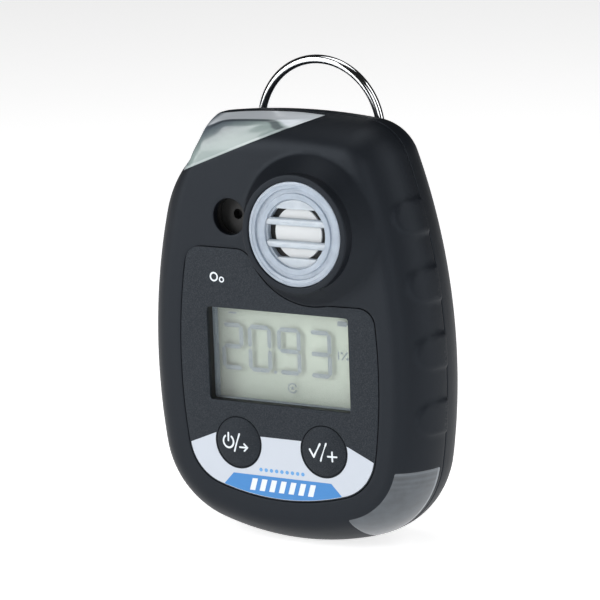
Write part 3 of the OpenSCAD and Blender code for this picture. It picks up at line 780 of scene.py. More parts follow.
def top_lens_plastic():
    """Clear plastic with its light and shade painted into the colour: lighter towards the lower
    edge, a band of painted shade at the upper left, painted highlights along the left edge, the
    rolled top and the lower edge, and a painted dark reflection line where the face turns back.
    """
    f = Finish("top_lens_plastic", Coat_Weight=0.5, Coat_Roughness=0.14, Specular_IOR_Level=0.5)
    x, y, z = f.axes()
    grain = f.noise(0.5, 3, 0.5, (1, 1, 2.2))
    above = (z - math.tan(LENS_SLOPE) * x - LENS_LINE_Z) * math.cos(LENS_SLOPE)
    from_left = (x - EDGE_AT[0]) - (z - EDGE_AT[1]) * math.tan(EDGE_LEAN)
    from_top = (TOP_Z - 0.0033 * (x * x)) - z
    # Lighter towards the lower edge, darker towards the top, with a streaky grain.
    colour_with_painted_light = f.blend((above + 1.6 * (grain - 0.5)).ramp(7.5, 1.5), srgb(74, 82, 92),
                   srgb(128, 142, 140))
    # Painted shade: a darker band in the upper left corner.
    colour_with_painted_light = f.blend((from_left + from_top).ramp(5.5, 3.4) * 0.75, colour_with_painted_light, srgb(52, 58, 66))
    # Painted highlight: a lighter strip along the left edge.
    colour_with_painted_light = f.blend(from_left.ramp(2.4, 1.4) * 0.5, colour_with_painted_light, srgb(110, 120, 128))
    # Painted reflection: a dark line at 2.6 mm depth where the face turns back.
    line = (abs(y - 2.6)).ramp(0.5, 0.2) * from_left.ramp(2.2, 4.0)
    colour_with_painted_light = f.blend(line * 0.7, colour_with_painted_light, srgb(46, 52, 60))
    # Painted highlight: the rolled top, where the lens turns back, is bright.
    colour_with_painted_light = f.blend((y - 2.9).ramp(0.0, 0.6) * from_left.ramp(0.8, 2.6), colour_with_painted_light,
                   srgb(196, 202, 208))
    # Painted highlight: a light line along the lower edge.
    border = (abs(above - 0.3)).ramp(0.3, 0.12)
    colour_with_painted_light = f.blend(border * 0.45, colour_with_painted_light, srgb(180, 188, 190))
    f.give(Base_Color=colour_with_painted_light, Roughness=0.30 + 0.16 * grain)
    return f.bump(f.noise(3, 2), 0.008).material


def side_lens_plastic():
    f = Finish("side_lens_plastic", Coat_Weight=0.6, Coat_Roughness=0.1, Specular_IOR_Level=0.5)
    _, y, z = f.axes()
    patch = f.noise(0.35, 3, 0.5, (1, 1, 1.6))
    lines = (z * 5.2).sine() * (z + 27.5).ramp(0.0, 4.0) * 0.35
    colour_with_painted_light = f.blend(patch + lines * 0.5, srgb(40, 46, 52), srgb(70, 78, 86))
    # Painted highlights: light lines along the top edge and the back edge of the lens.
    top_edge_highlight = abs(z - (SIDE_LENS_TOP - 0.25)).ramp(0.42, 0.2)
    back_edge_highlight = abs(y - (LENS_BACK - 0.35)).ramp(0.45, 0.2)
    colour_with_painted_light = f.blend((top_edge_highlight * 0.4 + back_edge_highlight) * 0.5, colour_with_painted_light, srgb(130, 138, 146))
    f.give(Base_Color=colour_with_painted_light, Roughness=0.28 + 0.14 * patch)
    return f.bump(f.noise(3, 2), 0.008).material


def cap_plastic(name, low, high):
    f = Finish(name, Coat_Weight=0.35, Coat_Roughness=0.18, Subsurface_Weight=0.35,
               Subsurface_Radius=(0.004, 0.0045, 0.005), Subsurface_Scale=0.6)
    haze = f.noise(0.4, 3)
    f.give(Base_Color=f.blend(haze, low, high), Roughness=0.34 + 0.12 * haze)
    return f.bump(f.noise(3, 2), 0.01).material


def lcd_surface():
    f = Finish("lcd_surface", Specular_IOR_Level=0.35)
    x, _, z = f.axes()
    grain = f.noise(7, 2)
    # Painted shade: the display is darker towards the lower left and lighter towards the upper
    # right.
    fade = (x * 0.02 + z * 0.018 + 0.5 + 0.12 * (grain - 0.5)).ramp(0.05, 0.95)
    f.give(Base_Color=f.blend(fade, srgb(150, 162, 150), srgb(172, 184, 170)),
           Roughness=0.42 + 0.1 * grain)
    return f.bump(grain, 0.006).material


def clear_pane():
    f = Finish("clear_pane", Specular_IOR_Level=0.5)
    haze = f.noise(0.1, 2)
    f.give(Base_Color=f.blend(haze, (0.9, 0.93, 0.92), (0.96, 0.98, 0.97)),
           Roughness=0.04 + 0.03 * haze, Alpha=0.05 + 0.03 * haze)
    return f.material


def board_green():
    f = Finish("board_green", Coat_Weight=0.4)
    x, _, z = f.axes()
    tracks = ((x * 3.1).sine() * (z * 2.7).sine()).ramp(0.0, 0.25)
    grain = f.noise(1.2, 2)
    f.give(Base_Color=f.blend(tracks, srgb(16, 72, 44), srgb(28, 98, 58)),
           Roughness=0.35 + 0.15 * grain)
    return f.bump(tracks, 0.03).material


CASING = casing_plastic()
FILM = panel_film()
KEY_TOP = panel_film("key_film", -5)
WHITE_INK = print_ink("white_ink", srgb(186, 193, 203))
BLUE_INK = print_ink("blue_ink", srgb(50, 122, 186))
LINE_INK = print_ink("icon_ink", srgb(214, 220, 226))
PALE_BLUE = print_ink("pale_blue_ink", srgb(90, 150, 205))
SEGMENT = moulded("lcd_segment", srgb(112, 126, 132), 0.5, 6, 0.004, 0.06)
CHROME = polished("polished_wire", srgb(214, 216, 218), 0.07, 0.05)
STEEL = polished("brushed_steel", srgb(176, 178, 182), 0.26, 0.16, 2.0)
SCREW = polished("zinc_screw", srgb(150, 152, 156), 0.3, 0.15, 2.0)
BRASS = polished("brass", srgb(206, 170, 96), 0.28, 0.14, 1.5)
TOP_LENS = top_lens_plastic()
SIDE_LENS = side_lens_plastic()
CAP = cap_plastic("cap_plastic", srgb(128, 140, 154), srgb(164, 175, 188))
CAP_CLEAR = cap_plastic("cap_clear", srgb(150, 160, 170), srgb(182, 190, 198))
LCD = lcd_surface()
PANE = clear_pane()
WELL = moulded("window_wall", srgb(15, 16, 18), 0.6)
LCD_BEZEL = moulded("lcd_frame_plastic", srgb(120, 134, 146), 0.5)
MEMBRANE = moulded("filter_membrane", srgb(200, 203, 205), 0.85, 5, 0.05, 0.05)
RUBBER = moulded("black_rubber", srgb(14, 14, 15), 0.75, 3, 0.03)
DARK = moulded("black_moulding", srgb(9, 10, 11), 0.6)
BOARD = board_green()
CHIP = moulded("chip_black", srgb(26, 27, 29), 0.45)
CELL = moulded("cell_sleeve", srgb(40, 84, 150), 0.35)
SENSOR_CAN = moulded("sensor_can", srgb(225, 225, 220), 0.5)
LED_CLEAR = moulded("led_lens", srgb(225, 120, 110), 0.2)
NICKEL = polished("nickel", srgb(196, 190, 176), 0.25, 0.1)

# ------------------------------------------------------------------ grown pieces

class Recipe:
    """Node tree that grows a piece on points and the lines between them."""

    def __init__(self, name, **inputs):
        self.tree = bpy.data.node_groups.new(name, "GeometryNodeTree")
        face = self.tree.interface
        face.new_socket("Geometry", in_out="INPUT", socket_type="NodeSocketGeometry")
        self.values = {}
        for label, value in inputs.items():
            kind = "NodeSocketInt" if isinstance(value, int) else "NodeSocketFloat"
            socket = face.new_socket(label, in_out="INPUT", socket_type=kind)
            self.values[socket.identifier] = value
        face.new_socket("Geometry", in_out="OUTPUT", socket_type="NodeSocketGeometry")
        self.source = self.tree.nodes.new("NodeGroupInput")

    def input(self, label):
        return self.source.outputs[label]

    def node(self, kind, settings=None, values=None):
        """Adds a node: its settings first, then the values or links of its sockets."""
        made = self.tree.nodes.new(kind)
        for key, value in (settings or {}).items():
            setattr(made, key, value)
        for key, value in (values or {}).items():
            if isinstance(value, bpy.types.NodeSocket):
                self.tree.links.new(value, made.inputs[key])
            else:
                made.inputs[key].default_value = value
        return made

    def sweep(self, section):
        """Runs a section along the lines, with its ends closed."""
        line = self.node("GeometryNodeMeshToCurve", None, {"Mesh": self.input("Geometry")})
        run = self.node("GeometryNodeCurveToMesh", None,
                        {"Curve": line.outputs[0], "Profile Curve": section, "Fill Caps": True})
        return run.outputs[0]

    def grow(self, geometry, points, lines, name, material, body, stands_for=()):
        """Ends the tree, runs it on the points and lines, and keeps a plain closed mesh."""
        real = self.node("GeometryNodeRealizeInstances", None, {"Geometry": geometry})
        weld = self.node("GeometryNodeMergeByDistance", None,
                         {"Geometry": real.outputs[0], "Distance": 0.001 * MM})
        done = self.node("GeometryNodeSetMaterial", None,
                         {"Geometry": weld.outputs[0], "Material": material})
        self.node("NodeGroupOutput", None, {"Geometry": done.outputs[0]})
        seed = bpy.data.meshes.new(name + "_lines")
        seed.from_pydata([tuple(p) for p in place(points)], lines, [])
        holder = bpy.data.objects.new(name + "_lines", seed)
        bpy.context.scene.collection.objects.link(holder)
        modifier = holder.modifiers.new("grow", "NODES")
        modifier.node_group = self.tree
        for identifier, value in self.values.items():
            modifier[identifier] = value
        view = bpy.context.evaluated_depsgraph_get()
        mesh = bpy.data.meshes.new_from_object(holder.evaluated_get(view))
        bpy.data.objects.remove(holder)
        mesh.name = name
        mesh.shade_smooth()
        mesh.set_sharp_from_angle(angle=math.radians(50))
        piece = bpy.data.objects.new(name, mesh)
        bpy.context.scene.collection.objects.link(piece)
        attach(piece, body)
        if stands_for:
            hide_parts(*stands_for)
        return piece


# ------------------------------------------------------------------ front shell

def panel_outline(gap):
    """Outline of the label panel: it follows the body and steps round the sensor boss."""
    high = SENSOR_Z - 5.1
    low = WINDOW_H / 2 + 2.4
    ring = outline(PANEL_IN + gap, 0.35)
    r = FLARE_R + 0.2 + gap
    right = ring[(ring[:, 0] > 0) & (ring[:, 1] < low - gap)]
    left = ring[(ring[:, 0] < 0) & (ring[:, 1] < high - gap)]
    right = right[np.argsort(right[:, 1])]
    left = left[np.argsort(-left[:, 1])]
    edge_x = right[-1][0] + (low - gap - right[-1][1]) * 0.02
    left_x = left[0][0]
    a_low = math.asin((low - gap - SENSOR_Z) / r)
    a_high = math.pi - math.asin((high - gap - SENSOR_Z) / r)
    arc = [(SENSOR_X + r * math.cos(a), SENSOR_Z + r * math.sin(a))
           for a in np.linspace(a_low, -2 * math.pi + a_high, 70)]
    loop = ([(edge_x, low - gap)] + arc + [(left_x, high - gap)] + [tuple(p) for p in left])
    loop += [tuple(p) for p in right[:-1]]
    clean = [loop[0]]
    for p in loop[1:]:
        if math.hypot(p[0] - clean[-1][0], p[1] - clean[-1][1]) > 0.05:
            clean.append(p)
    return round_corners(np.array(clean), 4 - gap)


CORNER_PULL = 0.87


def round_corners(loop, r):
    """Rounds the sharp corners of a dense loop: each is cut back and bridged with a bow that
    CORNER_PULL draws towards it."""
    u = loop - np.roll(loop, 1, axis=0)
    v = np.roll(loop, -1, axis=0) - loop
    turn = np.arctan2(u[:, 0] * v[:, 1] - u[:, 1] * v[:, 0], (u * v).sum(axis=1))
    corners = np.where(np.abs(turn) > 0.35)[0]
    out, skip, cuts, n = [], set(), {}, len(loop)
    for c in corners:
        half = (math.pi - abs(turn[c])) / 2
        reach = r / math.tan(half)
        skip.add(c)
        ends = []
        for way in (-1, 1):
            at, gone = c, 0
            while gone < reach:
                at = (at + way) % n
                gone = np.linalg.norm(loop[at] - loop[c])
                skip.add(at)
            ends.append(loop[c] + (loop[at] - loop[c]) / gone * reach)
        cuts[c] = (ends[0], loop[c], ends[1])
    for i in range(n):
        if i in cuts:
            p, m, q = cuts[i]
            for t in np.linspace(0, 1, 14):
                a, b, c = (1 - t) ** 2, 2 * t * (1 - t) * CORNER_PULL, t * t
                out.append((a * p + b * m + c * q) / (a + b + c))
        elif i not in skip:
            out.append(loop[i])
    return evenly(np.array(out), 0.5)


def shell(name, outer, holes, guides, lift, thick, material, body, stands_for=(), skin=None,
          edge=0.22, step=0.8):
    """Closed wall of even thickness on a surface, with every edge and hole rounded over."""
    flat, tri = sheet(outer, holes, guides, skin, step)
    shape = Shape()
    shape.add(lift(flat, 0), tri)
    shape.add(lift(flat, thick), [f[::-1] for f in tri])
    shape.strips(rim(outer, lift, soft_edge(edge, thick, 1) + [(0, thick)]))
    for hole in holes:
        shape.strips(rim(hole, lift, soft_edge(edge, thick, -1) + [(0, thick)]))
    return shape.piece(name, material, body, stands_for)


def flat_lift(front):
    """Puts flat points on a level face at that depth."""
    def lift(p, down=0.0):
        return np.stack([p[:, 0], np.full(len(p), float(front + down)), p[:, 1]], 1)
    return lift


PAD_Z = [-11, 3, 17, 31]
PAD_R = 4
PAD_MID_Y = 2.2 + PAD_R
PAD_RISE = 0.75 * PAD_H
PAD_EDGE = 0.9
BOSS_SOFT = 0.3
BOSS_SLOPE = 1.02


def front_lift(p, down=0.0):
    """Real place of flat points of the front shell, with its boss and grip pads."""
    p = np.asarray(p, float)
    spot, normal = FRONT.lift(p, down)
    r = np.hypot(p[:, 0] - SENSOR_X, p[:, 1] - SENSOR_Z)
    d = (FLARE_R - r) * BOSS_SLOPE
    k = BOSS_SOFT
    spot[:, 1] -= np.where(d > k, d, np.where(d < -k, 0, (d + k) ** 2 / (4 * k)))
    best = np.full(len(p), 9.0)
    for z in PAD_Z:
        dz = np.abs(spot[:, 2] - z)
        rounded_end = np.hypot(np.minimum(spot[:, 1] - PAD_MID_Y, 0), dz)
        best = np.minimum(best, rounded_end - PAD_R)
    s = np.clip(-best / PAD_EDGE, 0, 1) * (spot[:, 0] > HALF_W * 0.7)
    return spot + normal * (PAD_RISE * s * s * (3 - 2 * s))[:, None]


def pad_loop(z, shrink):
    """Outline of a grip pad in the flat pattern."""
    r = PAD_R - shrink
    pts = [(PAD_MID_Y - r * math.sin(a), z + r * math.cos(a))
           for a in np.linspace(0, math.pi, 22)]
    back = SEAM_Y - 0.9
    pts += [(y, z - r) for y in np.arange(PAD_MID_Y + 0.5, back, 0.5)]
    pts += [(back, v) for v in np.linspace(z - r, z + r, 14)]
    pts += [(y, z + r) for y in np.arange(back - 0.5, PAD_MID_Y, -0.5)]
    flat = []
    for y, v in pts:
        t = FRONT.at_depth(y)
        w = np.interp(t, FRONT.t, FRONT.w)
        ring = outline(FRONT.flat_in - w, 0.6)
        ring = ring[(ring[:, 0] > HALF_W * 0.6)]
        ring = ring[np.argsort(ring[:, 1])]
        p = np.array([[np.interp(v, ring[:, 1], ring[:, 0]), v]])
        way = FRONT.out(p)[1]
        flat.append((p + way * (t - w))[0])
    return np.array(flat)


def inset_at(skin, y):
    """How far inside the outline a skin is at that depth."""
    return skin.flat_in - float(np.interp(skin.at_depth(y), skin.t, skin.w))


def top_lens_loop(gap, skin):
    ring = cut_outline(inset_at(skin, LENS_BACK - gap), 0.15)
    ring = clipped(ring, (0, LENS_LINE_Z + gap), (-math.sin(LENS_SLOPE), math.cos(LENS_SLOPE)))
    ring = clipped(ring, (LENS_TIP[0] + gap, LENS_TIP[1]),
                   (math.cos(LENS_TIP_LEAN), math.sin(LENS_TIP_LEAN)))
    return evenly(skin.unroll(evenly(ring, 0.05)), 0.45)


LENS_LOW_BLEND, LENS_LEFT_BLEND = 3.5, 7


def lens_lift(p, down=0.0):
    """Real place of flat points of the top lens: blocky along its top edge, and level with
    the shell along its lower and left edges."""
    p = np.asarray(p, float)
    spot = LENS.lift(p, down)[0]
    w = np.interp(np.clip(LENS.out(p)[0], 0, None), LENS.t, LENS.w)
    shell_y = np.interp(w, FRONT.w, FRONT.y)
    own_y = np.interp(w, LENS.w, LENS.y)
    above = (spot[:, 2] - LENS_LINE_Z - math.tan(LENS_SLOPE) * spot[:, 0]) / LENS_LOW_BLEND
    inward = (spot[:, 0] - EDGE_AT[0] - (spot[:, 2] - EDGE_AT[1]) * math.tan(EDGE_LEAN))
    inward = inward / LENS_LEFT_BLEND
    above, inward = np.clip(above, 0, 1), np.clip(inward, 0, 1)
    block = above * above * (3 - 2 * above) * inward * inward * (3 - 2 * inward)
    spot[:, 1] += (shell_y - own_y) * (1 - block)
    return spot


def side_lens_loop(gap):
    outer = outline(inset_at(FRONT, LENS_BACK - gap), 0.25)
    inner = outline(SIDE_LENS_IN - gap, 0.25)
    outer = outer[(outer[:, 0] > 0) & (outer[:, 1] < 0)]
    inner = inner[(inner[:, 0] > 0) & (inner[:, 1] < 0)]
    ring = np.vstack([outer[np.argsort(angle_down(outer))],
                      inner[np.argsort(angle_down(inner))[::-1]]])
    ring = clipped(ring, (0, SIDE_LENS_TOP - gap), (0, -1))
    ring = clipped(ring, (SIDE_LENS_END[0] + gap, SIDE_LENS_END[1]),
                   (math.cos(SIDE_LENS_LEAN), math.sin(SIDE_LENS_LEAN)))
    return evenly(FRONT.unroll(evenly(ring, 0.2)), 0.5)


def angle_down(points):
    return np.arctan2(points[:, 1], points[:, 0])


SEAM_GAP, EDGE_ROUND, LENS_CLEAR = 0.09, 0.22, 0.06
front_edge = FRONT.loop_at(FRONT.end - EDGE_ROUND - SEAM_GAP, 0.5)
front_holes = [panel_outline(-0.16), circle(SENSOR_X, SENSOR_Z, LIP_R - 0.15, 150),
               circle(BUZZER_X, BUZZER_Z, SOUND_R + 0.2, 60), top_lens_loop(-LENS_CLEAR, FRONT),
               side_lens_loop(-LENS_CLEAR)]
boss_guides = [circle(SENSOR_X, SENSOR_Z, r, n) for r, n in
               ((13.4, 150), (14.5, 150), (15.6, 170), (FLARE_R, 170), (FLARE_R + 0.4, 170))]
pad_guides = [pad_loop(z, s) for z in PAD_Z for s in (0.0, PAD_EDGE / 2, PAD_EDGE)]
boss_guides = [g for g in boss_guides if not inside(g, front_holes[0]).any()
               and not inside(g, front_holes[3]).any()]
shell("front_case", front_edge, front_holes, boss_guides + pad_guides, front_lift, 1.4, CASING,
      "housing", ["front_shell"], FRONT)

lens_edge = dict(edge=0.3, step=0.7)
shell("top_light_lens", top_lens_loop(0.1, LENS), [], [], lens_lift,
      2.0, TOP_LENS, "housing", ["top_lens"], LENS, **lens_edge)
shell("right_light_lens", side_lens_loop(0.1), [], [], front_lift, 1.4, SIDE_LENS, "housing",
      ["right_lens"], FRONT, **lens_edge)

# ------------------------------------------------------------------ rear cover

BAIL_R, WIRE_R, BEND_R = 14.7, 1.0, 1.2
BAIL_Y = SEAM_Y + 9.85
BAIL_Z, CROWN_Z = TOP_Z - 6.3, TOP_Z - 5.3
SLOT_HALF = WIRE_R + 0.15
COVER_SCREWS = [(HALF_W - 10.1, SENSOR_Z - 4.2), (HALF_W - 15.6, -28.5)]
COVER_SCREWS += [(-x, z) for x, z in COVER_SCREWS]
SCREW_HEAD_R = 2.2
SCREW_TOP_Y = SEAM_Y + 7 + 1.8


def rear_lift(p, down=0.0):
    return REAR.lift(np.asarray(p, float), down)[0]


def solve(start, wants):
    """Flat place on the rear cover where each of the two wants is zero."""
    p = np.array(start, float)
    for _ in range(40):
        here = wants(rear_lift(p[None])[0])
        step = 1e-4
        slope = np.stack([(wants(rear_lift((p + d)[None])[0]) - here) / step
                          for d in (np.array([step, 0]), np.array([0, step]))], 1)
        move = np.linalg.solve(slope + 1e-9 * np.eye(2), here)
        p = p - np.clip(move, -1.5, 1.5)
        if np.abs(move).max() < 1e-7:
            break
    return p


def beside_bail(spot):
    """How far a place is outside the middle line that the bail sweeps through."""
    reach = math.hypot(spot[1] - BAIL_Y, spot[2] - BAIL_Z)
    return math.hypot(max(reach - (CROWN_Z - BAIL_Z), 0), spot[0]) - BAIL_R


def bail_slot(side):
    """Edge of the slot that a leg of the bail folds back through, as two matched rails."""
    front_y, low_z = BAIL_Y - SLOT_HALF, BAIL_Z - SLOT_HALF
    rails = []
    for offset in (SLOT_HALF, -SLOT_HALF):
        rail = []
        p = np.array([side * (13.8 + offset), TOP_Z + 3.0])
        for y in np.linspace(front_y, BAIL_Y + 1, 5):
            p = solve(p, lambda s: np.array([s[1] - y, beside_bail(s) - offset]))
            rail.append(p)
        spot = rear_lift(p[None])[0]
        turn0 = math.atan2(spot[1] - BAIL_Y, spot[2] - BAIL_Z)
        for a in np.linspace(turn0, math.radians(88), 22)[1:]:
            p = solve(p, lambda s: np.array([
                (s[1] - BAIL_Y) * math.cos(a) - (s[2] - BAIL_Z) * math.sin(a),
                beside_bail(s) - offset]))
            rail.append(p)
        for z in np.linspace(rear_lift(p[None])[0][2], low_z, 4)[1:]:
            p = solve(p, lambda s: np.array([s[2] - z, beside_bail(s) - offset]))
            rail.append(p)
        rails.append(np.array(rail))
    return rails


def slot_loop(rails):
    across = [rails[0][-1] + (rails[1][-1] - rails[0][-1]) * t for t in (0.25, 0.5, 0.75)]
    back = [rails[1][0] + (rails[0][0] - rails[1][0]) * t for t in (0.25, 0.5, 0.75)]
    return np.vstack([rails[0], across, rails[1][::-1], back])


slots = [slot_loop(bail_slot(side)) for side in (1, -1)]
screw_wells = [REAR.unroll(circle(x, z, SCREW_HEAD_R + 0.35, 40)) for x, z in COVER_SCREWS]
rear_edge = REAR.loop_at(REAR.end - EDGE_ROUND - SEAM_GAP, 0.5)
shell("rear_case", rear_edge, slots + screw_wells, [], rear_lift, 1.6, CASING, "housing",
      ["rear_cover"], REAR, step=1.0)

wells = Shape()
for loop in screw_wells:
    top = rear_lift(loop + sideways(loop) * -0.25, 1.3)
    rows = [top, np.stack([top[:, 0], np.full(len(top), SCREW_TOP_Y - 1.85), top[:, 2]], 1)]
    rows.append(rows[1].mean(axis=0) + (rows[1] - rows[1].mean(axis=0)) * 0.02)
    wells.strips(rows)
    wells.add(rows[-1], [list(range(len(loop)))])
for loop in slots:
    top = rear_lift(loop + sideways(loop) * -0.2, 1.3)
    side = math.copysign(1, top[0][0])
    x = side * np.clip(np.abs(top[:, 0]), BAIL_R - SLOT_HALF, BAIL_R + SLOT_HALF)
    y = np.clip(top[:, 1], BAIL_Y - SLOT_HALF, None)
    low = np.stack([x, y, np.full(len(top), BAIL_Z - SLOT_HALF - 0.3)], 1)
    wells.strips([top, top + (low - top) * 0.4, low])
    n = len(low)
    wells.add(low, [list(range(n))])
wells.piece("rear_recess_walls", CASING, "housing", toward=(0, 1, 0))

# ------------------------------------------------------------------ seam

seal = Shape()


def around(inset, y, count=520):
    ring = cut_outline(inset, 0.3)
    ring = np.vstack([ring, ring[:1]])
    length = np.concatenate([[0], np.cumsum(np.linalg.norm(np.diff(ring, axis=0), axis=1))])
    at = np.linspace(0, length[-1], count, endpoint=False)
    x, z = np.interp(at, length, ring[:, 0]), np.interp(at, length, ring[:, 1])
    return np.stack([x, np.full(count, y), z], 1)


rows = [around(0.35, SEAM_Y - 0.25), around(0.35, SEAM_Y + 0.25), around(0.6, SEAM_Y + 0.4),
        around(1.3, SEAM_Y + 0.4), around(1.3, SEAM_Y - 0.4), around(0.6, SEAM_Y - 0.4)]
seal.strips(rows + rows[:1])
seal.piece("shell_seal", RUBBER, "housing", ["housing_seal"])

# ------------------------------------------------------------------ label panel

window_hole = rounded([(-WINDOW_W / 2, -WINDOW_H / 2), (WINDOW_W / 2, -WINDOW_H / 2),
                       (WINDOW_W / 2, WINDOW_H / 2), (-WINDOW_W / 2, WINDOW_H / 2)],
                      [0.6] * 4, 0.15)
window_hole = evenly(window_hole, 0.7)
key_holes = [circle(s * KEY_X, KEY_Z, KEY_R + KEY_GAP, 72) for s in (1, -1)]
shell("label_plate", panel_outline(0.3), [window_hole] + key_holes, [], flat_lift(0.0), 0.78,
      FILM, "housing", ["label_panel"], edge=0.12, step=1.6)

white = panel_outline(0.46)
print_front, INK = level(-0.015), 0.03
BLUE_TOP, BLUE_HALF_W, BLUE_TOP_HALF_W = -25.65, 14.9, 12.1


def below(loop, line):
    """Part of a loop that lies under a line given from left to right."""
    line_x, line_z = [p[0] for p in line], [p[1] for p in line]
    keep = loop[loop[:, 1] < np.interp(loop[:, 0], line_x, line_z)]
    keep = keep[np.argsort(np.arctan2(keep[:, 1] + 5, keep[:, 0]))]
    return keep


curve = [(-26, -21.1), (-16.2, -17.25), (-13, -17.15), (13, -17.15), (16.2, -17.25),
         (26, -21.1)]
arc = below(white, curve)
line = [p for p in curve if arc[:, 0].min() < p[0] < arc[:, 0].max()]
label_area = np.vstack([arc, np.array(line)[::-1]])
key_clear = [circle(s * KEY_X, KEY_Z, KEY_R + 0.28, 72) for s in (1, -1)]
low_arc = below(panel_outline(0.54), [(-HALF_W, BLUE_TOP), (HALF_W, BLUE_TOP)])
low_arc = low_arc[np.abs(low_arc[:, 0]) < BLUE_HALF_W]
blue_area = np.vstack([low_arc, [(BLUE_TOP_HALF_W, BLUE_TOP), (-BLUE_TOP_HALF_W, BLUE_TOP)]])
slab([label_area], print_front, INK, key_clear, 2.0).piece("white_print", WHITE_INK, "housing")
slab([blue_area], level(-0.03), INK, (), 2.0).piece("blue_print", BLUE_INK, "housing")
dots = [circle(x, -24.35, 0.42, 20) for x in np.linspace(-5.2, 5.2, 9)]
slab(dots, level(-0.03), INK, (), 0).piece("blue_dots_print", PALE_BLUE, "housing")
slant = [np.array([(x - 0.75, -29.0), (x + 0.55, -29.0), (x + 1.35, -26.4), (x + 0.05, -26.4)])
         for x in np.linspace(-7.4, 7.0, 7)]
slab(slant, level(-0.045), INK, (), 0).piece("white_bars_print", LINE_INK, "housing")

# ------------------------------------------------------------------ display

well_out = evenly(rounded([(-19, -11.7), (19, -11.7), (19, 11.7), (-19, 11.7)], [1] * 4), 0.7)
shell("window_wall", well_out, [window_hole * 0.999], [], flat_lift(0.75), 1.4, WELL, "housing",
      edge=0.1, step=2.0)
glass = evenly(rounded([(-18.6, -11.3), (18.6, -11.3), (18.6, 11.3), (-18.6, 11.3)],
                       [0.5] * 4), 0.8)
shell("lcd_reflector", glass, [], [], flat_lift(LCD_Y + 1.0), 1.4, LCD, "housing",
      ["lcd_glass"], edge=0.1, step=2.0)


def bar(x, z, length, thick, lying):
    """One segment of a digit: a bar with pointed ends."""
    a, b = length / 2, thick / 2
    pts = [(-a, 0), (-a + b, -b), (a - b, -b), (a, 0), (a - b, b), (-a + b, b)]
    return np.array([(x + (p if lying else q), z + (q if lying else p)) for p, q in pts])


SEGMENTS = {0: "abcdef", 2: "abged", 3: "abgcd", 9: "abcdfg"}


def digit(number, x0, x1, z0, z1, thick=0.95):
    w, h = x1 - x0 - thick, (z1 - z0 - thick) / 2
    xm, zm = (x0 + x1) / 2, (z0 + z1) / 2
    gap = 0.12
    at = {"a": (xm, zm + h, w, True), "g": (xm, zm, w, True), "d": (xm, zm - h, w, True),
          "b": (xm + w / 2, zm + h / 2, h, False), "c": (xm + w / 2, zm - h / 2, h, False),
          "f": (xm - w / 2, zm + h / 2, h, False), "e": (xm - w / 2, zm - h / 2, h, False)}
    return [bar(at[s][0], at[s][1], at[s][2] - gap, thick, at[s][3]) for s in SEGMENTS[number]]


DIGIT_LOW, DIGIT_HIGH = -4.3, 5.9
marks = []
for number, left, wide in ((2, -16.7, 5.4), (0, -10.1, 5.8), (9, -2.8, 5.8), (3, 4.9, 5.6)):
    marks += digit(number, left, left + wide, DIGIT_LOW, DIGIT_HIGH)
marks += [circle(-3.5, DIGIT_LOW + 0.3, 0.4, 16)]
marks += stroke([(12.2, 0.1), (12.2, 1.7)], 0.35) + stroke([(13.1, 0.1), (14.3, 1.7)], 0.3)
marks += [circle(13.0, 1.5, 0.28, 12), circle(14.4, 0.3, 0.28, 12)]
marks += [np.array([(12.2, 7.2), (14.4, 7.2), (14.4, 8.3), (12.2, 8.3)]),
          np.array([(14.35, 7.5), (14.75, 7.5), (14.75, 8.0), (14.35, 8.0)])]
marks += [bow(0.6, -7.1, 1.0, 20, 340, 0.3), circle(0.6, -7.1, 0.35, 14)]
marks += stroke([(-14.6, 8.1), (-13.0, 8.1)], 0.4)
slab(marks, level(LCD_Y + 0.05), 0.04, (), 0).piece("display_segments", SEGMENT, "housing")

# ------------------------------------------------------------------ keys

DOME_H = 0.7
DOME_R = (KEY_R ** 2 + DOME_H ** 2) / (2 * DOME_H)


def dome(r):
    return DOME_R - DOME_H - math.sqrt(DOME_R ** 2 - r * r)


key_profile = [(0.001, dome(0))] + [(r, dome(r)) for r in np.linspace(0.6, KEY_R - 0.3, 12)]
key_profile += [(KEY_R - 0.14, dome(KEY_R - 0.14) + 0.03), (KEY_R - 0.04, 0.16), (KEY_R, 0.4),
                (KEY_R, 2.7), (KEY_R + 0.9, 2.75), (KEY_R + 0.9, 3.4), (2.0, 3.45), (2.0, 4.2),
                (0.001, 4.25)]


def key_face(side):
    def front(p):
        r = np.hypot(p[:, 0] - side * KEY_X, p[:, 1] - KEY_Z)
        return np.array([dome(v) for v in r]) - 0.02
    return front


def moved(loops, x, z):
    return [np.asarray(l) + (x, z) for l in loops]


power_mark = [bow(-2.2, 0.1, 1.35, 120, 420, 0.42)] + stroke([(-2.2, 0.3), (-2.2, 1.9)], 0.42)
power_mark += stroke([(-0.7, -1.9), (0.6, 1.9)], 0.4)
power_mark += stroke([(0.7, -0.9), (2.5, -0.9)], 0.36) + stroke([(1.75, -0.15), (2.5, -0.9),
                                                                 (1.75, -1.65)], 0.36)
menu_mark = stroke([(-3.2, 0.3), (-2.2, -1.2), (-0.6, 1.7)], 0.45)
menu_mark += stroke([(-0.5, -1.9), (0.9, 1.9)], 0.4)
menu_mark += stroke([(1.3, -0.8), (3.3, -0.8)], 0.38) + stroke([(2.3, -1.8), (2.3, 0.2)], 0.38)
for name, side, mark in (("power_key", -1, power_mark), ("menu_key", 1, menu_mark)):
    shape = Shape().strips(turned(key_profile, side * KEY_X, KEY_Z))
    shape.piece(name + "_cap", KEY_TOP, name, [name])
    slab(moved(mark, side * KEY_X, KEY_Z), key_face(side), 0.04, (), 0.5).piece(
        name + "_print", LINE_INK, name)

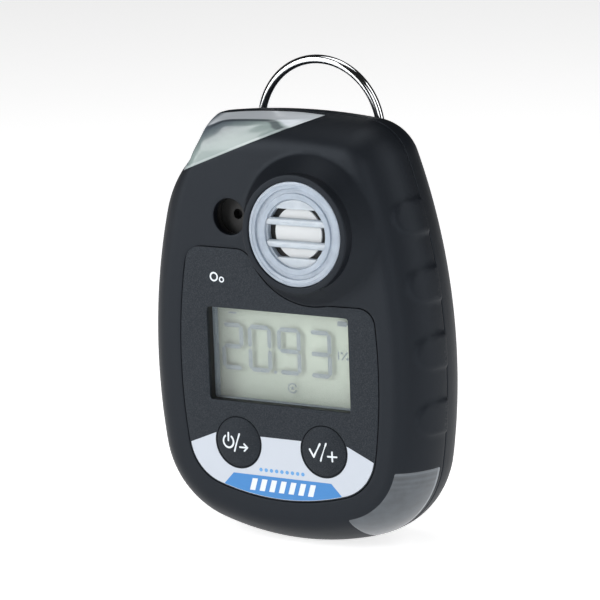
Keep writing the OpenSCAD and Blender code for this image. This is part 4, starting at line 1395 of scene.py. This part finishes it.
GAS_RINGS = [bow(-15.2, 16.6, 0.85, 0, 359.9, 0.36), bow(-13.3, 16.1, 0.5, 0, 359.9, 0.28)]
slab(GAS_RINGS, print_front, INK, (), 0).piece("gas_mark_print", LINE_INK, "housing")

# ------------------------------------------------------------------ sensor mouth

lip = fillet([(LIP_R - 2.0, CAP_Y + 2.5), (CAP_R + 0.1, CAP_Y + 2.5), (CAP_R + 0.1, LIP_Y),
              (LIP_R, LIP_Y), (LIP_R, LIP_Y + 3.4), (LIP_R - 2.0, LIP_Y + 3.4)], 0.3, 4)
rows = turned(lip, SENSOR_X, SENSOR_Z, 144)
Shape().strips(rows + rows[:1]).piece("sensor_lip", CASING, "housing")

cap = [(6.9, CAP_Y + 2.6), (6.9, CAP_Y + 0.9), (7.3, CAP_Y + 0.85), (7.35, CAP_Y + 0.35),
       (8.5, CAP_Y + 0.3), (8.6, CAP_Y + 0.65), (9.5, CAP_Y + 0.65), (9.6, CAP_Y + 0.15),
       (10.3, CAP_Y + 0.1), (10.35, CAP_Y), (CAP_R, CAP_Y + 0.05), (CAP_R, CAP_Y + 2.6)]
cap = fillet(cap, 0.12, 4)
rows = turned(cap, SENSOR_X, SENSOR_Z, 144)
Shape().strips(rows + rows[:1]).piece("sensor_cap_ring", CAP, "housing", ["sensor_cap"])


SLAT_Z, SLAT_THICK, SLAT_Y = (2.35, -2.35), 1.5, CAP_Y + 1.35
slats = Recipe("cap_slats", Thickness=SLAT_THICK * MM, Corner=0.35 * MM)
section = slats.node("GeometryNodeCurvePrimitiveQuadrilateral", None,
                     {"Width": slats.input("Thickness"), "Height": slats.input("Thickness")})
section = slats.node("GeometryNodeFilletCurve", None,
                     {"Curve": section.outputs[0], "Radius": slats.input("Corner")})
bars = slats.sweep(section.outputs[0])
ends = [(SENSOR_X + side * 7.3, SLAT_Y, SENSOR_Z + z) for z in SLAT_Z for side in (-1, 1)]
slats.grow(bars, ends, [(0, 1), (2, 3)], "cap_slats", CAP_CLEAR, "housing")
for k, side in enumerate((1, -1)):
    rim_loop = np.array([(6.95 * math.cos(a), side * 6.95 * math.sin(a))
                         for a in np.linspace(0.85, math.pi - 0.85, 40)]
                        + [(x, side * 5.3) for x in np.linspace(-4.3, 4.3, 20)])
    rim_loop = evenly(rim_loop + (SENSOR_X, SENSOR_Z), 0.3)
    shell("cap_web_%d" % (k + 1), rim_loop, [], [], flat_lift(CAP_Y + 0.75), 1.1, CAP_CLEAR,
          "housing", edge=0.2, step=0.6)

FILTER_Y = local("sensor_filter")[LOW][1]
disc = fillet([(0.001, FILTER_Y), (5.6, FILTER_Y), (5.6, FILTER_Y + 0.5), (0.001, FILTER_Y + 0.5)],
              0.1, 3)
Shape().strips(turned(disc, SENSOR_X, SENSOR_Z, 96)).piece(
    "filter_disc", MEMBRANE, "housing", ["sensor_filter"])
seat = fillet([(5.65, FILTER_Y + 0.35), (8.4, FILTER_Y + 0.35), (8.4, FILTER_Y + 0.8),
               (5.65, FILTER_Y + 0.8)], 0.1, 3)
rows = turned(seat, SENSOR_X, SENSOR_Z, 96)
Shape().strips(rows + rows[:1]).piece("filter_seat", RUBBER, "housing")

# ------------------------------------------------------------------ bail

path = [(BAIL_R * math.cos(a), CROWN_Z + BAIL_R * math.sin(a))
        for a in np.linspace(0, math.pi, 61)]
legs = [(BAIL_R - 5.5, BAIL_Z), (BAIL_R - BEND_R, BAIL_Z)]
legs += [(BAIL_R - BEND_R + BEND_R * math.sin(a), BAIL_Z + BEND_R - BEND_R * math.cos(a))
         for a in np.linspace(0.3, math.pi / 2, 6)]
path = legs + [p for p in path if p[1] > BAIL_Z + BEND_R + 0.05] + [(-x, z) for x, z in legs[::-1]]


wire = Recipe("bent_wire", Radius=WIRE_R * MM, Sides=28)
section = wire.node("GeometryNodeCurvePrimitiveCircle", None,
                    {"Resolution": wire.input("Sides"), "Radius": wire.input("Radius")})
wire.grow(wire.sweep(section.outputs[0]), [(x, BAIL_Y, z) for x, z in path],
          [(k, k + 1) for k in range(len(path) - 1)], "bail_wire", CHROME, "bail", ["wire_bail"])

# ------------------------------------------------------------------ finishes of the CAD pieces

FINISH_OF = {
    "display_window": PANE, "lcd_frame": LCD_BEZEL, "lcd_contact_strips": RUBBER,
    "power_switch_plunger": DARK, "menu_switch_plunger": DARK, "key_switches": DARK,
    "sensor_filter": MEMBRANE, "sensor_seal": RUBBER, "gas_sensor": SENSOR_CAN,
    "sensor_sockets": BRASS, "upper_board": BOARD, "board_header": DARK, "buzzer": DARK,
    "buzzer_seal": RUBBER, "alarm_leds": LED_CLEAR, "main_board": BOARD, "board_screws": SCREW,
    "board_chips": CHIP, "battery": CELL, "battery_holder": DARK, "battery_contacts": NICKEL,
    "vibration_motor": NICKEL, "vibration_weight": NICKEL, "motor_bracket": STEEL,
    "clip_base": STEEL, "clip_jaw": STEEL, "clip_pin": STEEL, "clip_spring": SCREW,
    "clip_screws": SCREW, "cover_screws": SCREW, "screw_inserts": BRASS,
}
for node, material in FINISH_OF.items():
    obj = bpy.data.objects[node]
    obj.data.materials.clear()
    obj.data.materials.append(material)

# ------------------------------------------------------------------ camera, floor and light

TURN, RISE, ROLL = math.radians(31.84), math.radians(11.42), math.radians(-2.02)
DISTANCE = 733.8
TARGET = np.array([3.04, 4.75, 12.04])
back = np.array([math.sin(TURN) * math.cos(RISE), -math.cos(TURN) * math.cos(RISE),
                 math.sin(RISE)])
right = np.array([math.cos(TURN), math.sin(TURN), 0])
up = np.cross(back, right)
right, up = (math.cos(ROLL) * right + math.sin(ROLL) * up,
             -math.sin(ROLL) * right + math.cos(ROLL) * up)
eye = place([TARGET + back * DISTANCE])[0]
camera_data = bpy.data.cameras.new("camera")
camera_data.lens, camera_data.sensor_width = 210, 36
camera_data.clip_start, camera_data.clip_end = 0.05, 20
camera = bpy.data.objects.new("camera", camera_data)
camera.matrix_world = Matrix([(right[i], up[i], back[i], eye[i]) for i in range(3)]
                             + [(0, 0, 0, 1)])
bpy.context.scene.collection.objects.link(camera)
bpy.context.scene.camera = camera


def lamp(name, at, size, power, aim=(0, 5, 8), colour=(1, 1, 1)):
    """Soft square light at a place in millimetres, turned towards the object."""
    data = bpy.data.lights.new(name, "AREA")
    data.shape, data.size, data.size_y = "RECTANGLE", size[0], size[1]
    data.energy, data.color = power, colour
    obj = bpy.data.objects.new(name, data)
    spot, goal = Vector(place([at])[0]), Vector(place([aim])[0])
    obj.matrix_world = (Matrix.Translation(spot)
                        @ (goal - spot).to_track_quat("-Z", "Y").to_matrix().to_4x4())
    bpy.context.scene.collection.objects.link(obj)


lamp("key_light", (-520, -700, 330), (0.5, 0.7), 6.6)
lamp("fill_light", (420, -620, 200), (0.4, 0.6), 1.6)
lamp("rim_light", (640, 120, 330), (0.25, 0.8), 2.2)
lamp("top_light", (-60, 40, 800), (0.6, 0.4), 2.0)


def sky():
    """Plain studio surroundings, bright overhead and dimmer towards the horizon."""
    world = bpy.data.worlds.new("studio")
    world.use_nodes = True
    tree = world.node_tree
    spot = tree.nodes.new("ShaderNodeTexCoord")
    split = tree.nodes.new("ShaderNodeSeparateXYZ")
    ramp = tree.nodes.new("ShaderNodeMapRange")
    ramp.inputs["From Min"].default_value, ramp.inputs["From Max"].default_value = 0.0, 0.9
    ramp.inputs["To Min"].default_value, ramp.inputs["To Max"].default_value = 0.5, 0.35
    tree.links.new(spot.outputs["Generated"], split.inputs[0])
    tree.links.new(split.outputs["Z"], ramp.inputs["Value"])
    tree.links.new(ramp.outputs["Result"], tree.nodes["Background"].inputs["Strength"])
    bpy.context.scene.world = world


sky()
bpy.context.scene.view_settings.view_transform = "Standard"

floor_mesh = bpy.data.meshes.new("floor")
floor_z = float(cad_box[0][2]) - 0.0002
ring = [(4 * math.cos(a), 4 * math.sin(a), floor_z)
        for a in np.linspace(0, 2 * math.pi, 96, endpoint=False)]
floor_mesh.from_pydata(ring, [], [list(range(96))])
floor = bpy.data.objects.new("floor", floor_mesh)
bpy.context.scene.collection.objects.link(floor)
ground = Finish("pale_floor", Emission_Color=(1, 1, 1, 1), Emission_Strength=0.74)
haze = ground.noise(0.004, 2)
ground.give(Base_Color=ground.blend(haze, (0.86, 0.86, 0.86), (0.9, 0.9, 0.9)),
            Roughness=0.7 + 0.1 * haze)
floor_mesh.materials.append(ground.material)
